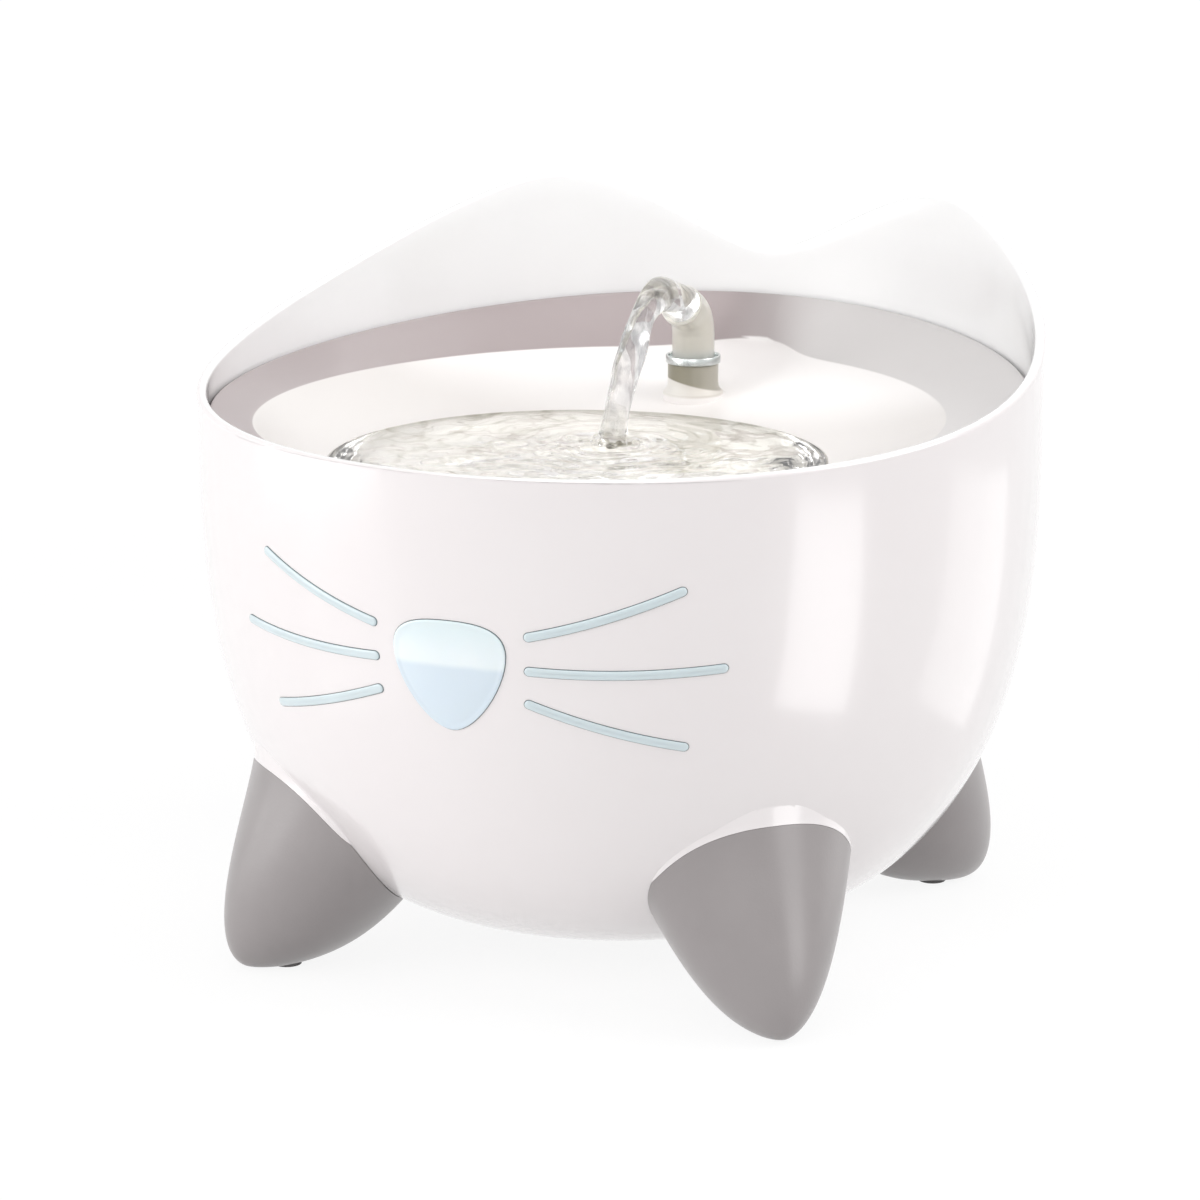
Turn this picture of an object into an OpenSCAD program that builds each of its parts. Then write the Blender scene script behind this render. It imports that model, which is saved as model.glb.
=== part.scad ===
// Pet water fountain: an eared bowl on four claw feet, with a drinking tray, spout, pump and filter.
// Origin on the floor under the middle of the bowl. The face looks along -Y and the ears are at +Y.
// Heights named ..._h are measured from the underside of the bowl, and plain z values from the floor.

/* [Bowl] */
// Outer diameter of the bowl at its rim
body_d = 230; // [224:1:240]
// Height from the underside to where the side becomes upright
bowl_h = 140; // [136:1:146]
// Diameter of the flat underside
base_d = 85; // [80:1:90]
// Fullness of the side: larger brings the widest place lower
bowl_rise = 2.93; // [2.8:0.01:3.1]
// Roundness of the turn from the underside into the side
bowl_turn = 1.915; // [1.85:0.005:2]
// Wall thickness of the bowl
wall = 2.8; // [2.4:0.1:3.2]
// Space between the floor and the underside
body_lift = 10.6; // [9.6:0.1:12.6]

/* [Rim and ears] */
// Height of the rim at the front
rim_front_h = 140.2; // [138:0.2:144]
// Height of the ear tips
ear_top_h = 184.5; // [176:0.5:192]
// Height of the dip between the ears
notch_h = 162.6; // [158:0.2:168]
// Angle of each ear tip from the back
ear_angle = 33; // [29:1:37]
// Angle over which an ear falls away towards the front
ear_fall = 42.8; // [38:0.1:48]
// Bevel on both edges of the rim
rim_bevel = 0.8; // [0.5:0.1:1.1]

/* [Face] */
// Width of the nose window
nose_w = 31; // [27:0.5:34]
// Height of the nose window
nose_h = 29.4; // [27:0.2:32]
// Height of the top of the nose window
nose_top_h = 102.8; // [100:0.2:106]
// Width of a whisker strip
whisker_w = 2.4; // [2:0.1:3]
// Distance of the whisker roots from the middle, along the wall
whisker_root = 20; // [18.5:0.5:23]
// Sag of a whisker in its length
whisker_sag = 0.8; // [0.4:0.1:1.4]
// Height by which the windows stand out of the wall
lens_proud = 0.4; // [0.2:0.1:0.6]
// Gap round a window in its slot
lens_gap = 0.12; // [0.08:0.01:0.2]
// Height of the light guide behind the windows
guide_h = 49; // [46:0.5:54]
// Space between the tray's seat and the cover of the light guide
cover_drop = 2.1; // [1.5:0.1:3]

/* [Feet] */
// Height of a foot at the middle of its lip
foot_h = 57; // [54:0.5:60]
// Fullest half width of a foot
foot_half_w = 34.5; // [32:0.5:36]
// Distance of the lip of a foot inside the rim of the bowl
foot_lip_in = 10.4; // [9:0.2:11]
// Bulge of a foot outside its lip
foot_bulge = 24.8; // [21:0.4:27]
// Height of the brow over the lip of a foot
brow_h = 9; // [7:0.5:11]
// Distance of the screw and pad of a foot inside the rim of the bowl
foot_axis_in = 17; // [16:0.5:18]
// Height of the sole above the floor
sole_z = 1; // [0.8:0.1:1.4]
// Radius of a foot pad
pad_r = 3.9; // [3.6:0.1:4]
// Thickness of a foot pad
pad_t = 2.4; // [2:0.1:3]

/* [Tray] */
// Gap between the tray and the wall
tray_gap = 0.6; // [0.4:0.05:0.9]
// Height of the seat that the tray stands on
seat_h = 128.9; // [126:0.5:131]
// Width of that seat
seat_w = 3.4; // [2.8:0.1:4.2]
// Thickness of the tray
tray_t = 2.6; // [2:0.1:3]
// Thickness of the tray's skirt
skirt_t = 1.8; // [1.5:0.1:2.2]
// Height of the tray's edge at the front
tray_front_h = 137; // [135.6:0.1:138]
// Rise of the tray's edge from front to back
tray_rise = 13; // [11:0.5:15]
// Height of the lip between deck and dish
lip_h = 136.7; // [135:0.1:136.9]
// Width of the deck at its widest, between the lip and the tray's edge
deck_w = 19.1; // [18:0.1:22]
// Width of the dish at its side, between the lip and the water's edge
dish_w = 25.5; // [24:0.5:28]
// Height of the water's edge
pool_h = 127.6; // [125:0.1:129.5]
// Depth of the pool below the water's edge
pool_depth = 12; // [9:0.5:14]

/* [Spout] */
// Distance of the spout behind the middle of the bowl
spout_y = 54.6; // [53:0.2:56]
// Height of the pedestal's top
spout_h = 139.2; // [137.5:0.1:141]
// Outer radius of the pedestal
pedestal_r = 7.2; // [7:0.1:7.6]
// Outer radius of the collar
collar_r = 7.8; // [7.7:0.1:8.4]
// Outer radius of the nozzle
nozzle_r = 6; // [5.7:0.1:6.2]
// Wall thickness of the nozzle
nozzle_wall = 1.5; // [1.2:0.1:1.8]
// Length of the nozzle's upright part
nozzle_up = 7.6; // [6:0.2:10]
// Bend radius of the nozzle
nozzle_bend = 9; // [8:0.2:11]
// Angle that the nozzle bends through
nozzle_angle = 65; // [55:1:75]
// Length of the nozzle's outlet
nozzle_out = 5; // [3:0.5:8]

/* [Riser] */
// Outer radius of the riser pipe
riser_r = 5.6; // [5.4:0.1:5.7]
// Inner radius of the riser pipe
riser_bore = 4.08; // [4:0.02:4.2]

/* [Filter] */
// Outer radius of the filter housing
cup_r = 50; // [49:0.5:52]
// Height of the filter housing
cup_h = 62; // [60:1:76]
// Distance of the filter housing's middle behind the middle of the bowl
cup_y = 16; // [15:0.5:17.5]
// Wall thickness of the filter housing
cup_wall = 2; // [1.6:0.1:2.2]
// Height of the pegs under the filter housing
peg_h = 4; // [3.5:0.1:5.5]
// Height of the filter cartridge
cart_h = 9; // [8:0.5:12]

/* [Pump] */
// Outer radius of the pump's volute
volute_r = 16; // [15.6:0.1:16.6]
// Radius of the impeller chamber
chamber_r = 13; // [12.6:0.1:13.3]
// Length of the motor block
motor_len = 26; // [24:0.5:27]
// Width of the motor block
motor_w = 24; // [22:0.5:25]
// Height of the motor block
motor_h = 30; // [28:0.5:32]
// Radius of the rotor well
well_r = 7.4; // [7:0.1:8]
// Radius of the ceramic shaft
shaft_r = 1.25; // [1:0.05:1.5]
// Number of impeller blades
blades = 6; // [4:1:8]

/* [Hidden] */
$fn = 72;

eps = 0.01;
cut = 1; // how far a cutting shape runs past what it cuts
run_gap = 0.05; // radial clearance of a turning fit
seat_gap = 0.1; // space between pieces that rest on each other
fit_gap = 0.3; // clearance round a pipe or a loose piece

// bowl
rim_r = body_d / 2;
in_r = rim_r - wall;
base_r = base_d / 2;
in_base_r = base_r - wall / 2;
floor_z = body_lift + wall;
top_z = body_lift + ear_top_h + 4;
profile_steps = 22;
rim_steps = 96;
notch_round = 0.8;
fall_round = 1.45;

// Radius of the bowl at height h above its flat, for a wall that ends upright at r_top and h_top.
function side_r(h, r_top, r_flat, h_top) =
    r_flat + (r_top - r_flat)
        * pow(1 - pow(1 - max(0, min(h, h_top)) / h_top, bowl_rise), 1 / bowl_turn);
function in_wall_r(z) = side_r(z - floor_z, in_r, in_base_r, bowl_h - wall);

// Half section of a solid bowl, from its flat at z0 up to z1.
function bowl_section(r_top, r_flat, h_top, z0, z1) = concat(
    [[0, z0]],
    [for (i = [0:profile_steps])
        let (h = h_top * pow(i / profile_steps, 2)) [side_r(h, r_top, r_flat, h_top), z0 + h]],
    [[r_top, z1], [0, z1]]);
function out_section(g) = bowl_section(rim_r + g, base_r + g, bowl_h + g, body_lift - g, top_z);
function in_section(g) =
    bowl_section(in_r - g, in_base_r - g, bowl_h - wall - g, floor_z + g, top_z + cut);

// Height of the rim at angle a from the back.
function rim_z(a) =
    let (b = abs(a > 180 ? a - 360 : a))
    body_lift + (b < ear_angle
        ? notch_h + (ear_top_h - notch_h) * (1 - cos(180 * pow(b / ear_angle, notch_round))) / 2
        : rim_front_h + (ear_top_h - rim_front_h)
            * exp(-pow((b - ear_angle) / ear_fall, fall_round)));

// Closed skin through rings of equal length. Capped rings end in flat faces, others join in a loop.
module skin(rings, looped = false) {
    n = len(rings[0]);
    m = len(rings);
    last = looped ? m - 1 : m - 2;
    walls = [for (j = [0:last], i = [0:n - 1])
        let (a = j * n, b = ((j + 1) % m) * n, k = (i + 1) % n)
        each [[a + i, b + k, b + i], [a + i, a + k, b + k]]];
    caps = looped ? [] : [[for (i = [n - 1:-1:0]) i], [for (i = [0:n - 1]) (m - 1) * n + i]];
    polyhedron(points = [for (r = rings) each r], faces = concat(walls, caps), convexity = 10);
}

// Everything above the rim line, with both edges of the rim bevelled.
module above_rim() {
    reach = 3;
    skin([for (i = [0:rim_steps - 1])
        let (a = i * 360 / rim_steps, z = rim_z(a), low = z - rim_bevel - reach)
        [for (p = [[in_r - reach, top_z + cut], [rim_r + reach, top_z + cut], [rim_r + reach, low],
                   [rim_r - rim_bevel, z], [in_r + rim_bevel, z], [in_r - reach, low]])
            [p[0] * sin(a), p[0] * cos(a), p[1]]]], looped = true);
}

// tray seat inside the bowl
seat_z = body_lift + seat_h;
seat_t = 1.6;
module seat_section() {
    polygon([[in_r - seat_w, seat_z], [rim_r - wall / 2, seat_z],
             [rim_r - wall / 2, seat_z - seat_t - seat_w - wall], [in_r - seat_w, seat_z - seat_t]]);
}

// face
face_r = rim_r - 2; // mean radius of the wall behind the face
lens_in = in_r - 14; // where the slot cutters start, well inside the wall
nose_shape = [[0, 1], [0.55, 1], [1, 0.96], [1, 0.72], [1, 0.44], [0.42, 0], [0, 0]];
whisker_root_h = [99.6, 90.9, 82.4];
whisker_tip = [61, 71.7, 61.5];
whisker_tip_h = [112.6, 91.7, 70.5];
bezier_steps = 10;

function bez(p, i, t) =
    pow(1 - t, 3) * p[i] + 3 * pow(1 - t, 2) * t * p[i + 1] + 3 * (1 - t) * t * t * p[i + 2]
    + pow(t, 3) * p[i + 3];

// Right half of the nose outline, from the top round to the tip.
function nose_half(w, h, z_top) =
    [for (i = [0, 3], k = [0:bezier_steps - (i == 0 ? 1 : 0)])
        let (p = bez(nose_shape, i, k / bezier_steps)) [p[0] * w / 2, z_top - h + p[1] * h]];

module nose_outline(g) {
    right = nose_half(nose_w + 2 * g, nose_h + 2 * g, body_lift + nose_top_h + g);
    polygon(concat(right, [for (i = [len(right) - 2:-1:1]) [-right[i][0], right[i][1]]]));
}

function arc(c, r, a0, a1, n) =
    [for (i = [0:n]) let (a = a0 + (a1 - a0) * i / n) c + r * [cos(a), sin(a)]];

// Outline of a curved strip with round ends, of length l between the end centres.
module strip(l, w, sag) {
    bend = (l * l / 4 + sag * sag) / (2 * sag);
    half = asin(l / 2 / bend);
    c = [0, bend - sag];
    ends = [for (s = [-1, 1]) c + bend * [s * sin(half), -cos(half)]];
    polygon(concat(
        arc(c, bend + w / 2, -90 - half, -90 + half, 5), arc(ends[1], w / 2, -75 + half, 75 + half, 5),
        arc(c, bend - w / 2, -90 + half, -90 - half, 5), arc(ends[0], w / 2, 105 - half, 255 - half, 5)));
}

// Radial prism of whisker k on side s, with clearance g.
module whisker_prism(s, k, g) {
    root = whisker_root;
    tip = whisker_tip[k];
    mid_a = (root + tip) / 2 / face_r * 180 / PI;
    half_x = face_r * sin((tip - root) / 2 / face_r * 180 / PI);
    rise = whisker_tip_h[k] - whisker_root_h[k];
    mid_z = body_lift + (whisker_tip_h[k] + whisker_root_h[k]) / 2;
    rotate([0, 0, s * mid_a]) rotate([90, 0, 0]) translate([0, mid_z, lens_in])
        linear_extrude(rim_r - lens_in + cut) mirror([s < 0 ? 1 : 0, 0])
            rotate(atan(rise / 2 / half_x))
                strip(2 * norm([half_x, rise / 2]) - whisker_w, whisker_w + 2 * g, whisker_sag);
}

module nose_prism(g) {
    rotate([90, 0, 0]) translate([0, 0, lens_in]) linear_extrude(rim_r - lens_in + cut)
        nose_outline(g);
}

// The wall itself between its two faces, and out past it by proud.
module wall_band(proud) {
    rotate_extrude($fn = 120) difference() {
        polygon(out_section(proud));
        polygon(in_section(0));
    }
}

// A curved slab that follows the inside of the wall, g0 to g1 in from it, over the face.
module face_slab(g0, g1, z0, z1, half_a) {
    steps = 6;
    zs = [for (i = [0:steps]) z0 + (z1 - z0) * i / steps];
    rotate([0, 0, -90 - half_a]) rotate_extrude(angle = 2 * half_a, $fn = 120) polygon(concat(
        [for (z = zs) [in_wall_r(z) - g0, z]],
        [for (i = [steps:-1:0]) [in_wall_r(zs[i]) - g1, zs[i]]]));
}
guide_t = 2;
guide_half_a = 38;
cover_t = 1.8;
cover_depth = 11;
cover_rim = 3;
guide_hi = seat_z - seat_t - seat_w - wall - cover_drop - cover_rim;
guide_lo = guide_hi - guide_h;
board_w = 40;
board_h = 22;
board_t = 1.6;
board_z = body_lift + nose_top_h - nose_h / 2;
board_y = -(in_wall_r(board_z - board_h / 2) - cover_depth + cover_t + board_t);
lamp = 3;

// feet
foot_steps = 15;
foot_sides = 28;
out_powers = [0.356, 1.25]; // rise and fall of the outer line of a foot from sole to lip
in_power = 0.394;
width_power = 0.484;
ring_square = 0.1; // how much squarer than an ellipse a ring of a foot is
foot_lip_r = rim_r - foot_lip_in;
foot_axis_r = rim_r - foot_axis_in;
foot_heel_r = foot_lip_r - 1.1; // inner end of the sole
heel_run = 0.623 * foot_lip_r; // how far the heel runs in under the bowl
foot_egg = 0.16; // how much fuller a foot is outside its middle
foot_angles = [-45, 45, 135, 225]; // from the face: front left, front right, rear right, rear left
lip_half_w = foot_half_w - 5.5;
lip_drop = 22.4; // from the middle of the lip down to its upright ends
lip_power = 2.2; // roundness of the lip's corners
boss_r = 4.2;
boss_z = 32;
boss_top = foot_h + 2; // well inside the wall
screw_r = 1.75;
screw_head_r = 3;
screw_head_t = 2.2;
screw_seat_z = 26;
screw_len = 18;

function foot_out_r(u) =
    foot_lip_r + foot_bulge * pow(u, out_powers[0]) * pow(max(0, 1 - u), out_powers[1]);
function foot_in_r(u) = foot_heel_r - heel_run * pow(u, in_power);
function foot_w(u) = foot_half_w * pow(u, width_power);
function ring_w(q) =
    sin(q) * (1 + foot_egg * cos(q)) * (1 - ring_square * cos(2 * q)) / (1 + ring_square);

// Place a shape built at radius along +X under the foot that lies at angle a from the face.
module at_foot(a) {
    rotate([0, 0, a - 90]) children();
}

// One full form for a foot and the brow over it, lofted from the sole up into the bowl.
module claw_form() {
    skin([for (j = [0:foot_steps])
        let (z = sole_z + (foot_h + brow_h - sole_z) * (1 - cos(180 * j / foot_steps)) / 2,
             u = z / foot_h, ro = foot_out_r(u), ri = foot_in_r(u))
        [for (i = [0:foot_sides - 1])
            let (q = -360 * i / foot_sides)
            [(ro + ri) / 2 + (ro - ri) / 2 * cos(q), foot_w(u) * ring_w(q), z]]]);
}

// Radial prism under the arched seam between a foot and its brow, with clearance g.
module lip_arch(g) {
    steps = 24;
    rotate([90, 0, 90]) linear_extrude(rim_r + foot_bulge) polygon(concat(
        [[-lip_half_w - g, -cut], [lip_half_w + g, -cut]],
        [for (i = [0:steps])
            let (c = cos(180 * i / steps), t = sin(180 * i / steps))
            [(lip_half_w + g) * sign(c) * pow(abs(c), 2 / lip_power),
             foot_h - lip_drop + (lip_drop + g) * pow(abs(t), 2 / lip_power)]]));
}

module foot(a) {
    color("silver") at_foot(a) difference() {
        intersection() {
            claw_form();
            lip_arch(-seat_gap);
        }
        rotate_extrude($fn = 96) polygon(out_section(seat_gap));
        translate([foot_axis_r, 0, 0]) {
            cylinder(r = pad_r + seat_gap, h = pad_t + seat_gap, $fn = 48);
            cylinder(r = screw_head_r + fit_gap, h = screw_seat_z, $fn = 32);
            cylinder(r = screw_r + fit_gap, h = boss_z + cut, $fn = 32);
            translate([0, 0, boss_z - seat_gap]) cylinder(r = boss_r + fit_gap, h = foot_h, $fn = 32);
        }
    }
}

// cable entry at the back
cable_z = seat_z - 14;
cable_wall_r = in_wall_r(cable_z);
cable_r = 1.9;
gland_r = 4.5;
gland_head_r = 6.5;
gland_head_t = 1.6;

module body_shell() {
    color("white") difference() {
        union() {
            rotate_extrude($fn = 120) polygon(out_section(0));
            for (a = foot_angles) at_foot(a) {
                difference() {
                    claw_form();
                    lip_arch(0);
                }
                translate([foot_axis_r, 0, boss_z])
                    cylinder(r = boss_r, h = boss_top - boss_z, $fn = 32);
            }
        }
        rotate_extrude($fn = 120) difference() {
            polygon(in_section(0));
            seat_section();
        }
        above_rim();
        nose_prism(lens_gap);
        for (s = [-1, 1], k = [0:2]) whisker_prism(s, k, lens_gap);
        for (a = foot_angles) at_foot(a) translate([foot_axis_r, 0, boss_z - cut])
            cylinder(r = screw_r + run_gap, h = screw_seat_z + screw_len - boss_z + 2 * cut, $fn = 24);
        translate([0, cable_wall_r - 2 * cut, cable_z]) rotate([-90, 0, 0])
            cylinder(r = gland_r + run_gap, h = wall + 4 * cut, $fn = 48);
    }
    color("white") for (a = peg_angles) translate([0, cup_y, floor_z - eps]) rotate([0, 0, a])
        translate([peg_at, 0, 0]) difference() {
            cylinder(r = peg_r + fit_gap + peg_ring_t, h = peg_ring_h, $fn = 32);
            translate([0, 0, -cut]) cylinder(r = peg_r + fit_gap, h = peg_ring_h + 2 * cut, $fn = 32);
        }
}

module nose_lens() {
    color("lightblue") intersection() {
        nose_prism(0);
        wall_band(lens_proud);
    }
}

module whisker_lenses(s) {
    color("lightblue") for (k = [0:2]) intersection() {
        whisker_prism(s, k, 0);
        wall_band(lens_proud);
    }
}

module light_guide() {
    color("azure") face_slab(fit_gap, fit_gap + guide_t, guide_lo, guide_hi, guide_half_a);
}

module led_board() {
    color("green") translate([-board_w / 2, board_y - board_t, board_z - board_h / 2])
        cube([board_w, board_t, board_h]);
    color("white") for (x = [-1, 0, 1]) translate([x * board_w / 3 - lamp / 2,
        board_y - board_t - 1, board_z - lamp / 2]) cube([lamp, 1 + eps, lamp]);
}

module led_cover() {
    color("gainsboro") {
        difference() {
            face_slab(fit_gap, cover_depth + cover_t, guide_lo - cover_rim, guide_hi + cover_rim,
                guide_half_a + 2);
            face_slab(-cut, cover_depth, guide_lo - seat_gap, guide_hi + seat_gap,
                guide_half_a + 0.1);
        }
    }
}

module foot_pads() {
    color("dimgray") for (a = foot_angles) at_foot(a) translate([foot_axis_r, 0, 0])
        cylinder(r = pad_r, h = pad_t, $fn = 48);
}

module foot_screws() {
    color("silver") for (a = foot_angles) at_foot(a) translate([foot_axis_r, 0, 0]) difference() {
        union() {
            translate([0, 0, screw_seat_z - screw_head_t])
                cylinder(r = screw_head_r, h = screw_head_t - seat_gap, $fn = 32);
            translate([0, 0, screw_seat_z - screw_head_t / 2])
                cylinder(r = screw_r, h = screw_len, $fn = 24);
        }
        for (t = [0, 90]) rotate([0, 0, t])
            translate([-2, -0.4, screw_seat_z - screw_head_t - cut]) cube([4, 0.8, cut + 1.2]);
    }
}

module cable_grommet() {
    color("dimgray") difference() {
        translate([0, cable_wall_r - gland_head_t - 1, cable_z]) rotate([-90, 0, 0]) {
            cylinder(r = gland_r, h = wall + gland_head_t + 0.9, $fn = 48);
            cylinder(r = gland_head_r, h = gland_head_t, $fn = 48);
        }
        translate([0, cable_wall_r - 2 * gland_head_t - 1, cable_z]) rotate([-90, 0, 0])
            cylinder(r = cable_r, h = wall + 3 * gland_head_t + 3, $fn = 32);
    }
}

// tray
tray_r = in_r - tray_gap;
tray_steps = 72;
tray_crowd = 28; // degrees by which the sections crowd towards the peak at the back
edge_w = 1;
lip_r = tray_r - deck_w;
lip_y = -16;
pool_r = lip_r - dish_w;
pool_y = -30;
lip_z = body_lift + lip_h;
pool_z = body_lift + pool_h;
tray_bow = 2.65; // how the edge climbs to the back
dish_bow = 1.25; // how the dish hollows between lip and water's edge
lip_swell = 11.5; // the lip reaches further towards the back
lip_peak = 20; // and runs up into a point behind the spout
lip_peak_a = 8.5;
spout_z = body_lift + spout_h;
pedestal_h = 18;
riser_top = spout_z - 4.3;
stem_r = 4;
stem_bore = 2.8;
stem_len = 22;
drain_w = 11;
drain_d = 3;
drain_out = 7; // distance of the drain slots outside the water's edge
drain_pitch = 11; // degrees

function edge_z(a) = body_lift + tray_front_h + tray_rise * pow((1 + cos(a)) / 2, tray_bow);
function lip_at(a) =
    let (b = a > 180 ? a - 360 : a,
         r = lip_r + lip_swell * pow((1 + cos(b)) / 2, 6) + lip_peak * exp(-pow(b / lip_peak_a, 2)))
    [r * sin(a), lip_y + r * cos(a), lip_z];
function edge_at(a, r) = [r * sin(a), r * cos(a), edge_z(a)];
function pool_at(a, k, d) =
    [k * pool_r * sin(a), pool_y + k * pool_r * cos(a), pool_z - d];
function deck_at(a, f) = edge_at(a, tray_r - edge_w) * (1 - f) + lip_at(a) * f;
function dish_at(a, f) =
    let (p = pool_at(a, 1, 0), l = lip_at(a), q = l * (1 - f) + p * f)
    [q[0], q[1], pool_z + (lip_z - pool_z) * pow(1 - f, dish_bow)];
function low(p) = [p[0], p[1], p[2] - tray_t];

// One section of the tray, from the middle of its underside round the skirt to the pool.
function tray_section(a) = concat(
    [low(pool_at(a, 0.3, pool_depth)), low(pool_at(a, 0.78, pool_depth * 0.97)),
     low(pool_at(a, 0.91, pool_depth * 0.7)), low(dish_at(a, 1)), low(dish_at(a, 0.5)),
     low(lip_at(a)), low(deck_at(a, 0.5))],
    [let (e = deck_at(a, 0.35)) [(tray_r - skirt_t) * sin(a), (tray_r - skirt_t) * cos(a),
        e[2] - tray_t]],
    [for (r = [tray_r - skirt_t, tray_r]) [r * sin(a), r * cos(a), seat_z + seat_gap]],
    [edge_at(a, tray_r), deck_at(a, 0), deck_at(a, 0.5), lip_at(a), dish_at(a, 0.2),
     dish_at(a, 0.45), dish_at(a, 0.7), dish_at(a, 1), pool_at(a, 0.96, pool_depth * 0.35),
     pool_at(a, 0.9, pool_depth * 0.72), pool_at(a, 0.78, pool_depth * 0.97),
     pool_at(a, 0.3, pool_depth)]);

module drinking_tray() {
    sections = [for (i = [0:tray_steps - 1])
        let (t = i * 360 / tray_steps) tray_section(t - tray_crowd * sin(t))];
    color("linen") difference() {
        union() {
            skin([for (k = [0:len(sections[0]) - 1]) [for (s = sections) s[k]]]);
            translate([0, spout_y, spout_z - pedestal_h])
                cylinder(r = pedestal_r, h = pedestal_h, $fn = 48);
        }
        translate([0, spout_y, spout_z - pedestal_h - cut]) {
            cylinder(r = riser_r + fit_gap, h = riser_top + 0.5 - spout_z + pedestal_h + cut, $fn = 48);
            cylinder(r = stem_r + fit_gap, h = pedestal_h + 2 * cut, $fn = 48);
        }
        for (k = [-2:2]) translate([0, pool_y, 0]) rotate([0, 0, k * drain_pitch])
            translate([-drain_w / 2, -(pool_r + drain_out), pool_z - tray_t - cut])
                cube([drain_w, drain_d, lip_z - pool_z + tray_t + 2 * cut]);
    }
}

module spout_collar() {
    lip_in = collar_r - 0.7;
    bore = nozzle_r + run_gap + 0.03;
    color("silver") translate([0, spout_y, spout_z]) rotate_extrude($fn = 72)
        polygon([[bore, 0], [collar_r, 0], [collar_r, 2.2], [lip_in, 2.2], [lip_in, 0.7],
                 [bore, 0.7]]);
}

// Solid elbow of radius r that starts upright at z and leaves towards the face.
module elbow(r, up, out) {
    lap = 0.4; // degrees by which the bend enters the straight ends
    translate([0, spout_y, spout_z + seat_gap]) {
        cylinder(r = r, h = up, $fn = 48);
        translate([0, -nozzle_bend, up]) rotate([90, 0, 90]) rotate([0, 0, -lap])
            rotate_extrude(angle = nozzle_angle + 2 * lap, $fn = 72) translate([nozzle_bend, 0])
                circle(r = r - 0.02, $fn = 48);
        translate([0, -nozzle_bend, up]) rotate([nozzle_angle, 0, 0])
            translate([0, nozzle_bend, 0]) cylinder(r = r, h = out, $fn = 48);
    }
}

module spout_nozzle() {
    base_t = 1.6;
    color("honeydew") difference() {
        union() {
            elbow(nozzle_r, nozzle_up, nozzle_out);
            translate([0, spout_y, spout_z - stem_len]) cylinder(r = stem_r, h = stem_len + cut,
                $fn = 48);
        }
        difference() {
            elbow(nozzle_r - nozzle_wall, nozzle_up, nozzle_out + cut);
            translate([0, spout_y, spout_z - cut]) cylinder(r = nozzle_r, h = base_t + cut);
        }
        translate([0, spout_y, spout_z - stem_len - cut])
            cylinder(r = stem_bore, h = stem_len + base_t + 2 * cut, $fn = 48);
    }
}

// filter housing
peg_at = 24;
peg_r = 3;
peg_ring_t = 1.4;
peg_ring_h = 2.4;
peg_angles = [30, 150, 270];
cup_z = floor_z + peg_h;
cup_foot_r = cup_r - 10;
cup_floor_z = cup_z + cup_wall;
cup_top = cup_z + cup_h;
cup_in_r = cup_r - cup_wall;
lid_t = 2.4;
spigot_h = 3;
cart_z = cup_top - spigot_h - seat_gap - cart_h;
cart_r = cup_in_r - 0.6;
shelf_w = 3;
shelf_t = 2;
riser_hole = riser_r + fit_gap;
pipe_at = spout_y - cup_y;

// pump
suction_h = 4;
sucker_pitch = 14;
pump_z = cup_floor_z + seat_gap + suction_h;
axis_z = pump_z + volute_r;
outlet_off = chamber_r - 1.4;
axis_y = spout_y - outlet_off;
outlet_r = 4.6;
nipple_r = riser_bore - 0.08;
channel_r = 2.8;
nipple_base = axis_z + volute_r + 0.6;
nipple_top = nipple_base + 12;
riser_z = nipple_base + seat_gap;
volute_x0 = -6;
volute_x1 = 5;
chamber_x1 = 2.5;
motor_x1 = volute_x1 + motor_len - 1;
motor_y = axis_y - 4;
well_x1 = motor_x1 - 4;
cover_disc_r = volute_r - 0.8;
cover_x0 = volute_x0 - 2.4;
inlets = 10;
inlet_w = 1.8;
inlet_edge = 2.2;
bush_r = 3;
bush_len = 2.4;
impeller_x0 = -4;
disc_x0 = 0.5; // where the disc that carries the blades starts
blade_t = 1.2;
hub_r = 3.4;
hub_x1 = 4;
magnet_len = well_x1 - bush_len - hub_x1 - 0.6;

// Cylinder along X about the impeller's axis.
module x_cyl(r, x0, x1, fn = 48) {
    translate([x0, axis_y, axis_z]) rotate([0, 90, 0]) cylinder(r = r, h = x1 - x0, $fn = fn);
}

module round_rect(w, h, r) {
    square([w - 2 * r, h], center = true);
    square([w, h - 2 * r], center = true);
    for (x = [-1, 1], y = [-1, 1]) translate([x * (w / 2 - r), y * (h / 2 - r)]) circle(r = r);
}

// Places of the suction cups, under the motor block and on the flat of the housing's floor.
module at_suction_cups() {
    for (x = [0, 1], y = [-1, 1])
        translate([volute_x1 + x * sucker_pitch, motor_y - 3 + y * sucker_pitch / 2, 0]) children();
}

module pump_body() {
    color("dimgray") difference() {
        union() {
            x_cyl(volute_r, volute_x0, volute_x1, 96);
            translate([volute_x1 - 1, motor_y, pump_z + motor_h / 2]) rotate([90, 0, 90])
                linear_extrude(motor_len) round_rect(motor_w, motor_h, 4);
            translate([0, spout_y, axis_z]) cylinder(r = outlet_r, h = nipple_base - axis_z);
            translate([0, spout_y, axis_z]) cylinder(r = nipple_r, h = nipple_top - axis_z);
        }
        x_cyl(chamber_r, volute_x0 - cut, chamber_x1, 96);
        x_cyl(well_r, chamber_x1 - cut, well_x1);
        translate([0, spout_y, axis_z]) cylinder(r = channel_r, h = nipple_top - axis_z + cut);
        translate([0, spout_y, seal_z]) difference() {
            cylinder(r = nipple_r + cut, h = seal_t);
            translate([0, 0, -cut]) cylinder(r = seal_in, h = seal_t + 2 * cut);
        }
    }
}
seal_z = nipple_base + 5;
seal_t = 1.8;
seal_in = nipple_r - 0.8;

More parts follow.
